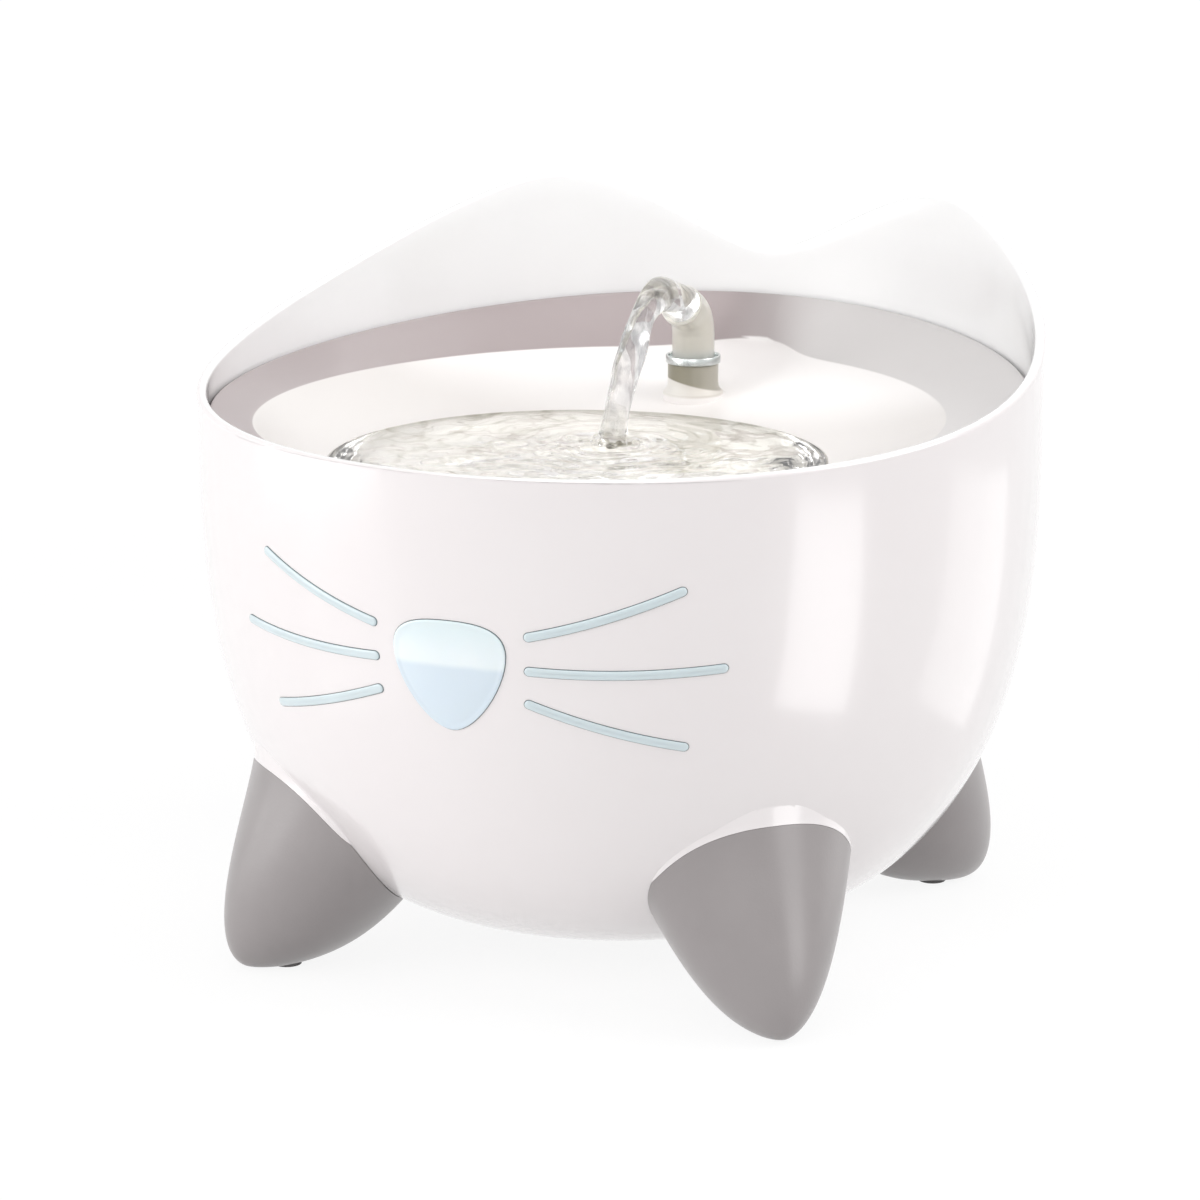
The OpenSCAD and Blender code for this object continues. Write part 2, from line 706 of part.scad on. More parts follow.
module pump_cover() {
    color("gray") difference() {
        union() {
            x_cyl(cover_disc_r, cover_x0, volute_x0 - run_gap, 96);
            x_cyl(chamber_r - 0.1, volute_x0 - 1, volute_x0 + 1.2, 96);
        }
        difference() {
            x_cyl(chamber_r - 1, volute_x0 - run_gap, volute_x0 + 2, 96);
            x_cyl(bush_r + 1.2, volute_x0 - 1, volute_x0 + 3);
        }
        x_cyl(bush_r + run_gap, volute_x0 - bush_len + 1.2, volute_x0 + 3);
        x_cyl(shaft_r + fit_gap, cover_x0 - cut, volute_x0);
        for (i = [0:inlets - 1]) translate([cover_x0 - cut, axis_y, axis_z])
            rotate([i * 360 / inlets, 0, 0]) translate([0, -inlet_w / 2, bush_r + inlet_edge])
                cube([6, inlet_w, chamber_r - bush_r - 2 * inlet_edge]);
    }
}

module impeller() {
    color("white") difference() {
        union() {
            x_cyl(chamber_r - 1, disc_x0, disc_x0 + 1.5);
            x_cyl(hub_r, impeller_x0, hub_x1);
            for (i = [0:blades - 1]) translate([impeller_x0, axis_y, axis_z])
                rotate([i * 360 / blades, 0, 0]) translate([0, -blade_t / 2, hub_r - 1])
                    cube([disc_x0 - impeller_x0 + eps, blade_t, chamber_r - hub_r - 0.6]);
        }
        x_cyl(shaft_r + run_gap, impeller_x0 - cut, hub_x1 + cut, 32);
    }
}

module rotor_magnet() {
    color("darkslategray") difference() {
        x_cyl(well_r - 0.8, hub_x1 + eps, hub_x1 + magnet_len);
        x_cyl(shaft_r + run_gap, hub_x1 - cut, hub_x1 + magnet_len + cut, 32);
    }
}

module impeller_shaft() {
    color("ivory") x_cyl(shaft_r, volute_x0 - 1, well_x1 - 0.3, 32);
}

module shaft_bush_front() {
    color("black") difference() {
        x_cyl(bush_r, volute_x0 - bush_len + 1.25, volute_x0 + 1.2);
        x_cyl(shaft_r + run_gap, volute_x0 - bush_len, volute_x0 + 2, 32);
    }
}

module shaft_bush_rear() {
    color("black") difference() {
        x_cyl(well_r - run_gap, well_x1 - bush_len, well_x1 - seat_gap);
        x_cyl(shaft_r + run_gap, well_x1 - bush_len - cut, well_x1 - 0.2, 32);
    }
}

module outlet_seal() {
    color("black") translate([0, spout_y, seal_z + 0.05]) difference() {
        cylinder(r = riser_bore - 0.04, h = seal_t - 0.1, $fn = 48);
        translate([0, 0, -cut]) cylinder(r = seal_in + 0.04, h = seal_t + 2 * cut, $fn = 48);
    }
}

module riser_tube() {
    color("whitesmoke") translate([0, spout_y, riser_z]) difference() {
        cylinder(r = riser_r, h = riser_top - riser_z, $fn = 48);
        translate([0, 0, -cut]) cylinder(r = riser_bore, h = riser_top - riser_z + 2 * cut, $fn = 48);
    }
}

module suction_cups() {
    color("black") at_suction_cups() translate([0, 0, cup_floor_z + seat_gap]) rotate_extrude($fn = 48)
        polygon([[0, 1], [2.6, 0], [4.4, 0], [2.4, 1.8], [2.4, suction_h - seat_gap / 2],
                 [0, suction_h - seat_gap / 2]]);
}

module pump_gland() {
    color("black") translate([motor_x1 + seat_gap, motor_y, pump_z + motor_h / 2])
        rotate([0, 90, 0]) difference() {
            cylinder(r1 = 3.4, r2 = 2.7, h = 5, $fn = 48);
            translate([0, 0, 1]) cylinder(r = cable_r, h = 5, $fn = 32);
        }
}

module filter_housing() {
    color("whitesmoke") translate([0, cup_y, 0]) {
        rotate_extrude($fn = 120) polygon([[0, cup_z], [cup_foot_r, cup_z], [cup_r, cup_z + 7],
            [cup_r, cup_top], [cup_in_r, cup_top], [cup_in_r, cart_z - seat_gap],
            [cup_in_r - shelf_w, cart_z - seat_gap], [cup_in_r - shelf_w, cart_z - shelf_t],
            [cup_in_r, cart_z - shelf_t - shelf_w], [cup_in_r, cup_z + 8],
            [cup_foot_r - 0.8, cup_floor_z], [0, cup_floor_z]]);
        for (a = peg_angles) rotate([0, 0, a]) translate([peg_at, 0, floor_z + seat_gap])
            cylinder(r = peg_r, h = peg_h - seat_gap + eps, $fn = 32);
    }
}

module riser_clear(g) {
    translate([0, pipe_at]) circle(r = riser_hole + g);
}

module filter_lid() {
    slot = 4;
    bar = 3.2;
    color("whitesmoke") translate([0, cup_y, 0]) {
        translate([0, 0, cup_top + seat_gap]) linear_extrude(lid_t) difference() {
            circle(r = cup_r, $fn = 120);
            riser_clear(0);
            intersection() {
                for (k = [-5:5]) translate([k * (slot + bar) - slot / 2, -cup_r])
                    square([slot, 2 * cup_r]);
                circle(r = cup_in_r - 8, $fn = 96);
                difference() {
                    square(2 * cup_r, center = true);
                    riser_clear(3);
                    square([2 * cup_r, 3], center = true);
                }
            }
        }
        translate([0, 0, cup_top - spigot_h + seat_gap]) linear_extrude(spigot_h + eps)
            difference() {
                circle(r = cup_in_r - 0.2, $fn = 120);
                circle(r = cup_in_r - 1.8, $fn = 120);
            }
    }
}

module filter_frame() {
    floor_t = 1.4;
    color("skyblue") translate([0, cup_y, cart_z]) {
        linear_extrude(cart_h) difference() {
            union() {
                difference() {
                    circle(r = cart_r, $fn = 120);
                    circle(r = cart_r - 1.6, $fn = 120);
                }
                intersection() {
                    riser_clear(1.8);
                    circle(r = cart_r - 0.8, $fn = 120);
                }
            }
            riser_clear(0.2);
        }
        linear_extrude(floor_t) intersection() {
            circle(r = cart_r - 0.8, $fn = 120);
            difference() {
                for (t = [0, 90], k = [-3:3]) rotate(t) translate([-cup_r, k * 12 - 0.8])
                    square([2 * cup_r, 1.6]);
                riser_clear(1);
            }
        }
    }
}

module cartridge_disc() {
    difference() {
        circle(r = cart_r - 1.8, $fn = 120);
        riser_clear(2);
    }
}

module filter_media() {
    color("white") translate([0, cup_y, cart_z + cart_h / 2 + 0.2])
        linear_extrude(cart_h / 2 - 0.6) cartridge_disc();
}

module carbon_pack() {
    color("black") translate([0, cup_y, cart_z + 1.5]) linear_extrude(cart_h / 2 - 1.5)
        cartridge_disc();
}

body_shell();
nose_lens();
whisker_lenses(-1);  // whisker_lenses_left
whisker_lenses(1);  // whisker_lenses_right
light_guide();
led_board();
led_cover();
foot(foot_angles[0]);  // foot_front_left
foot(foot_angles[1]);  // foot_front_right
foot(foot_angles[2]);  // foot_rear_right
foot(foot_angles[3]);  // foot_rear_left
foot_pads();
foot_screws();
cable_grommet();
drinking_tray();
spout_collar();
spout_nozzle();
pump_body();
pump_cover();
impeller();
rotor_magnet();
impeller_shaft();
shaft_bush_front();
shaft_bush_rear();
outlet_seal();
riser_tube();
suction_cups();
pump_gland();
filter_housing();
filter_lid();
filter_frame();
filter_media();
carbon_pack();
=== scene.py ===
import math
import random
import bmesh
import bpy
from mathutils import Matrix, Vector, noise


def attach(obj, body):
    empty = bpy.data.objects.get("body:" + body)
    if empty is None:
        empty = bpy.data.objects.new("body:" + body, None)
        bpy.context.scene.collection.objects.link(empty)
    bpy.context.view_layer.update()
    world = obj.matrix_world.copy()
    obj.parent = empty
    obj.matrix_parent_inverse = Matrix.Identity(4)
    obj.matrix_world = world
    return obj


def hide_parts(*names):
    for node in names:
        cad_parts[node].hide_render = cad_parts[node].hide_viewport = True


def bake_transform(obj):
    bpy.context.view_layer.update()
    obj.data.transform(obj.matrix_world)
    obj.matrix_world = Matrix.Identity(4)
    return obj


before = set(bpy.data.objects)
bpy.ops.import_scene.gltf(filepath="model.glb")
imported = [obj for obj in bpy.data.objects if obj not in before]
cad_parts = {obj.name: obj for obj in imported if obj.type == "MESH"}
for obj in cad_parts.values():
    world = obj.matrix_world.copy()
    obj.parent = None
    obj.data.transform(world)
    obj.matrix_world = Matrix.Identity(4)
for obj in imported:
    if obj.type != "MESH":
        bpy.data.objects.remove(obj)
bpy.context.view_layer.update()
scene = bpy.context.scene
mm = 0.001  # the dictionaries hold millimetres and degrees, the meshes metres
weld = 2e-7  # vertices nearer than this, in metres, become one


# view and light
viewSpec = {
    "place": (435.2, -1057.3, 375.6), "aim": (-0.37375, 0.89587, -0.24028), "lens": 128.1,
    "sensor": 36, "clipEnd": 20000,
}
lampAim = (0, 0, 90)  # where a lamp points unless its own row says
lightSpec = {
    "leftLow": {"place": (-563, -325, 190), "size": (520, 370), "power": 0.85},
    "leftFront": {"place": (-700, -800, 420), "size": (600, 700), "power": 2.7},
    "overhead": {"place": (0, -130, 900), "size": (700, 700), "power": 2.4},
    "frontHigh": {"place": (250, -1400, 900), "size": (1400, 900), "power": 5.6},
    "rightHigh": {"place": (1000, 150, 900), "size": (800, 800), "power": 7.3},
    "backHigh": {"place": (0, 1100, 900), "size": (1200, 700), "power": 1.6},
    "cardRight": {"place": (232, -100, 56), "size": (76, 110), "power": 0.052,
                  "aim": (88, -72, 110), "card": True},
    "cardBack": {"place": (212, 77, 56), "size": (96, 110), "power": 0.02,
                 "aim": (110, -30, 110), "card": True},
    "cardLeft": {"place": (-150, -190, 56), "size": (110, 110), "power": 0.008,
                 "aim": (-30, -109, 110), "card": True},
}


def addView():
    lens = bpy.data.cameras.new("viewCamera")
    lens.lens = viewSpec["lens"]
    lens.sensor_width = viewSpec["sensor"]
    lens.clip_end = viewSpec["clipEnd"] * mm
    camera = bpy.data.objects.new("viewCamera", lens)
    camera.location = Vector(viewSpec["place"]) * mm
    camera.rotation_euler = Vector(viewSpec["aim"]).to_track_quat("-Z", "Y").to_euler()
    scene.collection.objects.link(camera)
    bpy.context.scene.camera = camera
    scene.view_settings.view_transform = "Standard"


def addLights():
    for name, spec in lightSpec.items():
        lamp = bpy.data.lights.new(name, "AREA")
        lamp.shape = "RECTANGLE"
        lamp.size, lamp.size_y = spec["size"][0] * mm, spec["size"][1] * mm
        lamp.energy = spec["power"]
        holder = bpy.data.objects.new(name, lamp)
        holder.location = Vector(spec["place"]) * mm
        aim = Vector(spec.get("aim", lampAim)) * mm - holder.location
        holder.rotation_euler = aim.to_track_quat("-Z", "Y").to_euler()
        holder.visible_camera = False
        holder.visible_diffuse = not spec.get("card")  # a card only shows in the gloss
        scene.collection.objects.link(holder)


# materials: one small class carries a value through a node tree
class Flow:
    def __init__(self, tree, socket=None):
        self.tree = tree
        self.socket = socket

    def node(self, kind, settings, inputs, output=0):
        made = self.tree.nodes.new(kind)
        for key, value in settings.items():
            setattr(made, key, value)
        for key, value in inputs.items():
            if isinstance(value, Flow):
                self.tree.links.new(value.socket, made.inputs[key])
            else:
                made.inputs[key].default_value = value
        return Flow(self.tree, made.outputs[output])

    def out(self, name):
        return Flow(self.tree, self.socket.node.outputs[name])

    def math(self, operation, *others):
        return self.node("ShaderNodeMath", {"operation": operation}, dict(enumerate((self,) + others)))

    def __add__(self, other):
        return self.math("ADD", other)

    __radd__ = __add__

    def __mul__(self, other):
        return self.math("MULTIPLY", other)

    __rmul__ = __mul__

    def __sub__(self, other):
        return self.math("SUBTRACT", other)

    def __rsub__(self, other):
        return self.node("ShaderNodeMath", {"operation": "SUBTRACT"}, {0: other, 1: self})

    def clamp(self):
        return self.node("ShaderNodeClamp", {}, {0: self})

    def step(self, low, high):  # 0 below low, 1 above high, smooth between
        return self.node("ShaderNodeMapRange", {"interpolation_type": "SMOOTHSTEP"},
                         {0: self, 1: low, 2: high, 3: 0.0, 4: 1.0})

    def rise(self, low, high):  # a step whose two ends are in millimetres
        return self.step(low * mm, high * mm)

    def near(self, value, soft):  # 1 at value, fading over soft
        return 1 - self.math("SUBTRACT", value).math("ABSOLUTE").step(0.0, soft)

    def blendColours(self, first, second):
        return self.node("ShaderNodeMix", {"data_type": "RGBA"}, {0: self, 6: first, 7: second}, 2)


def newMaterial(name, shaderValues):
    material = bpy.data.materials.new(name)
    material.use_nodes = True
    tree = material.node_tree
    shader = tree.nodes["Principled BSDF"]
    for key, value in shaderValues.items():
        shader.inputs[key].default_value = value
    return material, Flow(tree), shader


def wire(flow, shader, **links):
    for key, value in links.items():
        flow.tree.links.new(value.socket, shader.inputs[key.replace("_", " ")])


def place(flow):
    return flow.node("ShaderNodeTexCoord", {}, {}, 3)


def axesOf(flow, where):
    return flow.node("ShaderNodeSeparateXYZ", {}, {0: where})


def levelOf(flow, name):  # a value kept on the piece's own points
    return flow.node("ShaderNodeAttribute", {"attribute_name": name}, {}, 2)


def grainAt(flow, where, scale, detail=3.0, rough=0.55):
    return flow.node("ShaderNodeTexNoise", {}, {"Vector": where, "Scale": scale, "Detail": detail,
                                               "Roughness": rough})


def smearAt(flow, where, scale, smudge, rough):  # handling marks in the gloss
    return (grainAt(flow, where, scale, 5.0, 0.62) - 0.5) * smudge + rough


def spread(flow, where, x, y):  # distance from an upright axis
    moved = flow.node("ShaderNodeMapping", {}, {"Vector": where, "Location": (-x * mm, -y * mm, 0),
                                               "Scale": (1, 1, 0)})
    return flow.node("ShaderNodeVectorMath", {"operation": "LENGTH"}, {0: moved}, 1)


def bumpOf(flow, height, strength, distance):
    return flow.node("ShaderNodeBump", {}, {"Height": height, "Strength": strength,
                                           "Distance": distance})


toneBand = (0.35, 0.68)  # from where to where the slow grain changes the colour
skinDepth = 0.0004  # how deep a moulded skin's grain may seem, in metres

# plain mouldings: two close colours, the gloss and its smudges, the grain and the drift of the colour
mouldedSpec = {
    "footGrey": {"colours": ((0.31, 0.286, 0.286, 1), (0.33, 0.305, 0.305, 1)), "rough": 0.32,
                 "smudge": 0.1, "grain": 0.08, "grainScale": 1400.0, "drift": 30.0,
                 "Coat Weight": 0.2, "Coat Roughness": 0.2},
    "padRubber": {"colours": ((0.035, 0.035, 0.036, 1), (0.05, 0.05, 0.05, 1)), "rough": 0.75,
                  "smudge": 0.15, "grain": 0.25, "grainScale": 2200.0, "drift": 60.0},
    "padGrey": {"colours": ((0.24, 0.23, 0.23, 1), (0.27, 0.26, 0.26, 1)), "rough": 0.7,
                "smudge": 0.15, "grain": 0.25, "grainScale": 2200.0, "drift": 60.0},
    "coverWhite": {"colours": ((0.72, 0.72, 0.72, 1), (0.76, 0.76, 0.76, 1)), "rough": 0.5,
                   "smudge": 0.1, "grain": 0.15, "grainScale": 1500.0, "drift": 25.0},
    "guideClear": {"colours": ((0.8, 0.88, 0.9, 1), (0.84, 0.9, 0.92, 1)), "rough": 0.25,
                   "smudge": 0.1, "grain": 0.1, "grainScale": 900.0, "drift": 25.0,
                   "Transmission Weight": 0.5, "IOR": 1.49},
    "pumpDark": {"colours": ((0.018, 0.018, 0.02, 1), (0.03, 0.03, 0.032, 1)), "rough": 0.48,
                 "smudge": 0.15, "grain": 0.3, "grainScale": 2600.0, "drift": 60.0},
    "impellerWhite": {"colours": ((0.7, 0.7, 0.68, 1), (0.76, 0.75, 0.73, 1)), "rough": 0.42,
                      "smudge": 0.1, "grain": 0.1, "grainScale": 1500.0, "drift": 60.0},
    "ceramic": {"colours": ((0.78, 0.74, 0.64, 1), (0.82, 0.79, 0.7, 1)), "rough": 0.16,
                "smudge": 0.05, "grain": 0.04, "grainScale": 2600.0, "drift": 60.0},
    "risePale": {"colours": ((0.72, 0.76, 0.74, 1), (0.77, 0.8, 0.78, 1)), "rough": 0.26,
                 "smudge": 0.1, "grain": 0.08, "grainScale": 1500.0, "drift": 30.0,
                 "Transmission Weight": 0.25, "IOR": 1.49},
    "housingPale": {"colours": ((0.7, 0.74, 0.76, 1), (0.75, 0.78, 0.79, 1)), "rough": 0.24,
                    "smudge": 0.1, "grain": 0.08, "grainScale": 1200.0, "drift": 20.0,
                    "Transmission Weight": 0.2, "IOR": 1.49},
    "cartridgeBlue": {"colours": ((0.1, 0.32, 0.48, 1), (0.13, 0.36, 0.52, 1)), "rough": 0.4,
                      "smudge": 0.1, "grain": 0.15, "grainScale": 1500.0, "drift": 30.0},
}
brushedSpec = {
    "screwSteel": {"colour": (0.45, 0.45, 0.46, 1), "rough": 0.32},
    "collarBright": {"colour": (0.66, 0.69, 0.68, 1), "rough": 0.22},
    "magnetDark": {"colour": (0.06, 0.06, 0.065, 1), "rough": 0.5},
}


def mouldedMaterial(name, colours, rough, smudge, grain, grainScale, drift, **values):
    material, flow, shader = newMaterial(name, values)
    where = place(flow)
    slow = grainAt(flow, where, drift, 4.0)
    fine = grainAt(flow, where, grainScale, 2.0)
    wire(flow, shader, Base_Color=slow.step(*toneBand).blendColours(*colours),
         Roughness=smearAt(flow, where, 38.0, smudge, rough),
         Normal=bumpOf(flow, fine + slow * 2.0, grain, skinDepth))
    return material


def brushedMaterial(name, colour, rough):
    material, flow, shader = newMaterial(name, {"Metallic": 1.0})
    where = place(flow)
    drawn = flow.node("ShaderNodeMapping", {}, {"Vector": where, "Scale": (300.0, 300.0, 6000.0)})
    lines = grainAt(flow, drawn, 1.0, 4.0)
    slow = grainAt(flow, where, 120.0, 3.0)
    darker = tuple(c * 0.82 for c in colour[:3]) + (1,)
    wire(flow, shader, Base_Color=slow.step(0.35, 0.7).blendColours(colour, darker),
         Roughness=lines * 0.12 + (rough - 0.04), Normal=bumpOf(flow, lines, 0.05, 0.0002))
    return material


def makeMaterials():
    kit = {name: mouldedMaterial(name, **spec) for name, spec in mouldedSpec.items()}
    for name, spec in brushedSpec.items():
        kit[name] = brushedMaterial(name, **spec)
    kit["shellWhite"] = shellMaterial()
    kit["windowBlue"] = windowMaterial()
    kit["boardGreen"] = boardMaterial()
    kit["trayCream"] = trayMaterial()
    kit["nozzleFrost"] = frostMaterial()
    kit["fibreWhite"] = fibreMaterial()
    kit["carbonBlack"] = carbonMaterial()
    kit["water"] = waterMaterial()
    print("materials made")
    return kit


shellFinish = {
    "outer": ((0.84, 0.795, 0.798, 1), (0.85, 0.81, 0.812, 1)),
    # the lining is a lighter copy of the white, painted light inside the bowl
    "litLining": ((0.94, 0.942, 0.945, 1), (0.95, 0.952, 0.955, 1)),
    "rough": 0.22, "smudge": 0.06, "grain": 0.03, "grainScale": 700.0, "drift": 9.0,
    "coat": 1.0, "coatRough": 0.12,
}


def shellMaterial():
    look = shellFinish
    material, flow, shader = newMaterial("shellWhite", {
        "Coat Weight": look["coat"], "Coat Roughness": look["coatRough"]})
    where = place(flow)
    slow = grainAt(flow, where, look["drift"], 4.0)
    fine = grainAt(flow, where, look["grainScale"], 2.0)
    outer = slow.step(*toneBand).blendColours(*look["outer"])
    # painted light: the bowl's inside takes the lighter copy of the white
    litLining = slow.step(*toneBand).blendColours(*look["litLining"])
    wire(flow, shader, Base_Color=levelOf(flow, "inside").clamp().blendColours(outer, litLining),
         Roughness=smearAt(flow, where, 38.0, look["smudge"], look["rough"]),
         Normal=bumpOf(flow, fine + slow * 2.0, look["grain"], skinDepth))
    return material


windowFinish = {
    "lower": (0.69, 0.785, 0.87, 1), "middle": (0.86, 0.93, 0.96, 1), "upper": (0.76, 0.86, 0.885, 1),
    "splitZ": (101.5, 103.5), "fadeZ": (103.0, 112.0), "whisker": (0.63, 0.72, 0.75, 1),
    "whiskerX": (17.0, 18.0), "cloud": (0.72, 0.82, 0.86, 1), "cloudShare": 0.2,
    "rim": (0.25, 0.32, 0.34, 1), "rough": 0.1, "grain": 0.03, "grainScale": 1300.0, "drift": 40.0,
}


def windowMaterial():
    look = windowFinish
    material, flow, shader = newMaterial("windowBlue", {
        "Coat Weight": 0.6, "Coat Roughness": 0.03, "IOR": 1.49,
        "Subsurface Weight": 0.15, "Subsurface Radius": (0.004, 0.005, 0.006)})
    where = place(flow)
    axes = axesOf(flow, where)
    height = axes.out("Z")
    slow = grainAt(flow, where, look["drift"], 3.0)
    fine = grainAt(flow, where, look["grainScale"], 2.0)
    upper = height.rise(*look["fadeZ"]).blendColours(look["middle"], look["upper"])
    body = (height + slow * 0.002).rise(*look["splitZ"]).blendColours(look["lower"], upper)
    whisker = axes.out("X").math("ABSOLUTE").rise(*look["whiskerX"])
    body = whisker.blendColours(body, look["whisker"])
    body = (slow.step(0.3, 0.7) * look["cloudShare"]).blendColours(body, look["cloud"])
    wire(flow, shader, Base_Color=levelOf(flow, "rim").clamp().blendColours(body, look["rim"]),
         Roughness=slow * 0.08 + look["rough"],
         Normal=bumpOf(flow, fine + slow * 3.0, look["grain"], skinDepth))
    return material


def boardMaterial():
    material, flow, shader = newMaterial("boardGreen", {"Coat Weight": 0.3, "Coat Roughness": 0.2})
    where = place(flow)
    tracks = flow.node("ShaderNodeTexBrick", {"offset": 0.4}, {
        "Vector": where, "Scale": 160.0, "Mortar Size": 0.08, "Color1": (0.015, 0.1, 0.035, 1),
        "Color2": (0.02, 0.13, 0.045, 1), "Mortar": (0.05, 0.22, 0.08, 1)})
    fine = grainAt(flow, where, 1600.0)
    wire(flow, shader, Base_Color=tracks, Roughness=fine * 0.2 + 0.3,
         Normal=bumpOf(flow, fine, 0.1, 0.0003))
    return material


def fibreMaterial():
    material, flow, shader = newMaterial("fibreWhite", {"Sheen Weight": 0.3, "Sheen Roughness": 0.5})
    where = place(flow)
    fibre = flow.node("ShaderNodeTexWave", {"wave_type": "BANDS"}, {
        "Vector": where, "Scale": 260.0, "Distortion": 16.0, "Detail": 4.0, "Detail Scale": 2.6})
    clump = grainAt(flow, where, 240.0, 5.0, 0.7)
    tint = clump.step(0.3, 0.7).blendColours((0.66, 0.66, 0.62, 1), (0.85, 0.85, 0.82, 1))
    wire(flow, shader, Base_Color=tint, Roughness=clump * 0.1 + 0.85,
         Normal=bumpOf(flow, fibre * 0.5 + clump, 0.7, 0.001))
    return material


def carbonMaterial():
    material, flow, shader = newMaterial("carbonBlack", {})
    where = place(flow)
    bits = flow.node("ShaderNodeTexVoronoi", {}, {"Vector": where, "Scale": 620.0})
    tone = grainAt(flow, where, 500.0)
    tint = tone.step(0.4, 0.7).blendColours((0.012, 0.012, 0.012, 1), (0.05, 0.05, 0.05, 1))
    wire(flow, shader, Base_Color=tint, Roughness=tone * 0.4 + 0.35,
         Normal=bumpOf(flow, bits, 0.9, 0.0012))
    return material


trayFinish = {
    "cream": ((0.73, 0.695, 0.672, 1), (0.75, 0.715, 0.692, 1)),
    # the dish is painted lighter towards its back, a painted pool of light
    "back": (0.93, 0.9, 0.885, 1), "litBackY": (20.0, 60.0),
    # under the water the dish takes a tone of its own, painted for the light that reaches it through
    # the water
    "basin": ((0.76, 0.74, 0.70, 1), (0.78, 0.76, 0.72, 1)), "basinLightZ": (136.8, 138.2),
    # the deck's grey is its own colour; its darker left is painted shade and its paler right a painted
    # reflection
    "deckShadedLeft": ((0.375, 0.315, 0.315, 1), (0.395, 0.335, 0.335, 1)),
    "deckLitRight": ((0.62, 0.595, 0.588, 1), (0.64, 0.615, 0.608, 1)), "deckShadeX": (-4.0, 36.0),
    "postR": (9.4, 9.6), "postZ": (140.5, 141.2), "shadeFacing": (0.925, 0.381),
    # the olive band at the top of the pedestal is the collar's painted shadow, slanted across the
    # pedestal
    "collarShadow": ((0.27, 0.25, 0.185, 1), (0.4, 0.375, 0.32, 1)), "collarShadowAcross": (-4.0, 8.0),
    # below the painted shadow the pedestal is painted lighter on one side and darker on the other:
    # painted light and shade
    "base": ((0.79, 0.765, 0.72, 1), (0.7, 0.66, 0.61, 1)), "pedestalShadeAcross": (-6.0, 0.0),
    "collarShadowZ": (144.2, 144.7), "collarShadowLean": 0.25, "rough": 0.3, "smudge": 0.08, "grain": 0.03,
    "grainScale": 800.0, "drift": 11.0,
}


def trayMaterial():
    look, spoutY = trayFinish, traySpec["spoutY"]
    material, flow, shader = newMaterial("trayCream", {
        "Coat Weight": 0.2, "Coat Roughness": 0.3, "IOR": 1.47})
    where = place(flow)
    slow = grainAt(flow, where, look["drift"], 4.0)
    fine = grainAt(flow, where, look["grainScale"], 2.0)
    axes = axesOf(flow, where)
    x, y, height = (axes.out(name) for name in "XYZ")
    soft = slow.step(0.3, 0.7)
    # painted light: the dish lighter towards the back
    cream = y.rise(*look["litBackY"]).blendColours(soft.blendColours(*look["cream"]), look["back"])
    # painted light under the water: the basin takes its own tone
    cream = height.rise(*look["basinLightZ"]).blendColours(soft.blendColours(*look["basin"]), cream)
    # painted shade on the deck's left, painted reflection on its right
    shadedDeck, litDeck = (soft.blendColours(*look[name]) for name in ("deckShadedLeft", "deckLitRight"))
    greyDeckShade = (x + slow * 0.02).rise(*look["deckShadeX"]).blendColours(shadedDeck, litDeck)
    plain = levelOf(flow, "deck").clamp().blendColours(cream, greyDeckShade)
    post = (1 - spread(flow, where, 0, spoutY).rise(*look["postR"])) * height.rise(*look["postZ"])
    across = x * look["shadeFacing"][0] + (y - spoutY * mm) * look["shadeFacing"][1]
    # painted shadow of the collar on the pedestal's top
    collarShadow = (across + slow * 0.004).rise(*look["collarShadowAcross"]).blendColours(*look["collarShadow"])
    # painted light and shade across the pedestal's lower part
    base = across.rise(*look["pedestalShadeAcross"]).blendColours(*look["base"])
    high = (height + across * look["collarShadowLean"] + slow * 0.0015).rise(*look["collarShadowZ"])
    wire(flow, shader, Base_Color=post.blendColours(plain, high.blendColours(base, collarShadow)),
         Roughness=smearAt(flow, where, 30.0, look["smudge"], look["rough"]),
         Normal=bumpOf(flow, fine + slow * 2.0, look["grain"], skinDepth))
    return material


frostFinish = {
    "foot": (0.92, 0.935, 0.91, 1), "cream": ((0.88, 0.85, 0.78, 1), (0.94, 0.92, 0.86, 1)),
    "creamZ": (152.0, 156.0), "rough": 0.24, "grain": 0.12, "grainScale": 2200.0, "drift": 90.0,
}


def frostMaterial():
    look = frostFinish
    material, flow, shader = newMaterial("nozzleFrost", {
        "Transmission Weight": 0.55, "IOR": 1.45, "Coat Weight": 0.25, "Coat Roughness": 0.1})
    where = place(flow)
    slow = grainAt(flow, where, look["drift"], 4.0)
    fine = grainAt(flow, where, look["grainScale"], 3.0)
    cream = slow.step(0.3, 0.7).blendColours(*look["cream"])
    high = (axesOf(flow, where).out("Z") + slow * 0.002).rise(*look["creamZ"])
    wire(flow, shader, Base_Color=high.blendColours(look["foot"], cream),
         Roughness=slow * 0.15 + look["rough"], Normal=bumpOf(flow, fine, look["grain"], 0.0003))
    return material


waterFinish = {
    # the pool is painted darker towards its left corner and lighter to the right: painted shade and
    # painted light
    "open": (0.965, 0.96, 0.945, 1), "shaded": (0.885, 0.88, 0.87, 1), "shadedX": (12.0, 36.0),
    "corner": (0.78, 0.775, 0.77, 1), "shadedCornerX": (-62.0, -42.0), "mark": (0.5, 0.485, 0.43, 1),
    "ringLength": 9.5, "ringDrift": 16.0, "edgeR": (64.2, 66.0), "footAt": (2.4, -7.6),
    "footR": (3.6, 5.8), "fall": (0.97, 0.97, 0.96, 1), "streak": (0.48, 0.48, 0.49, 1),
    "fallZ": (139.5, 141.0), "fadeZ": (142.0, 166.0), "fadeLow": 0.46, "fadeHigh": 0.92, "shadow": 0.2,
    "slowScale": 48.0, "fineScale": 150.0, "lineScale": 64.0, "fallScale": 260.0,
    # the rings, lines, edge and landing patch are painted reflections and painted shade on the water
    "ringShadeShare": 0.8, "lineShadeShare": 0.75, "edgeShadeShare": 0.5, "landingShadeShare": 0.8,
}


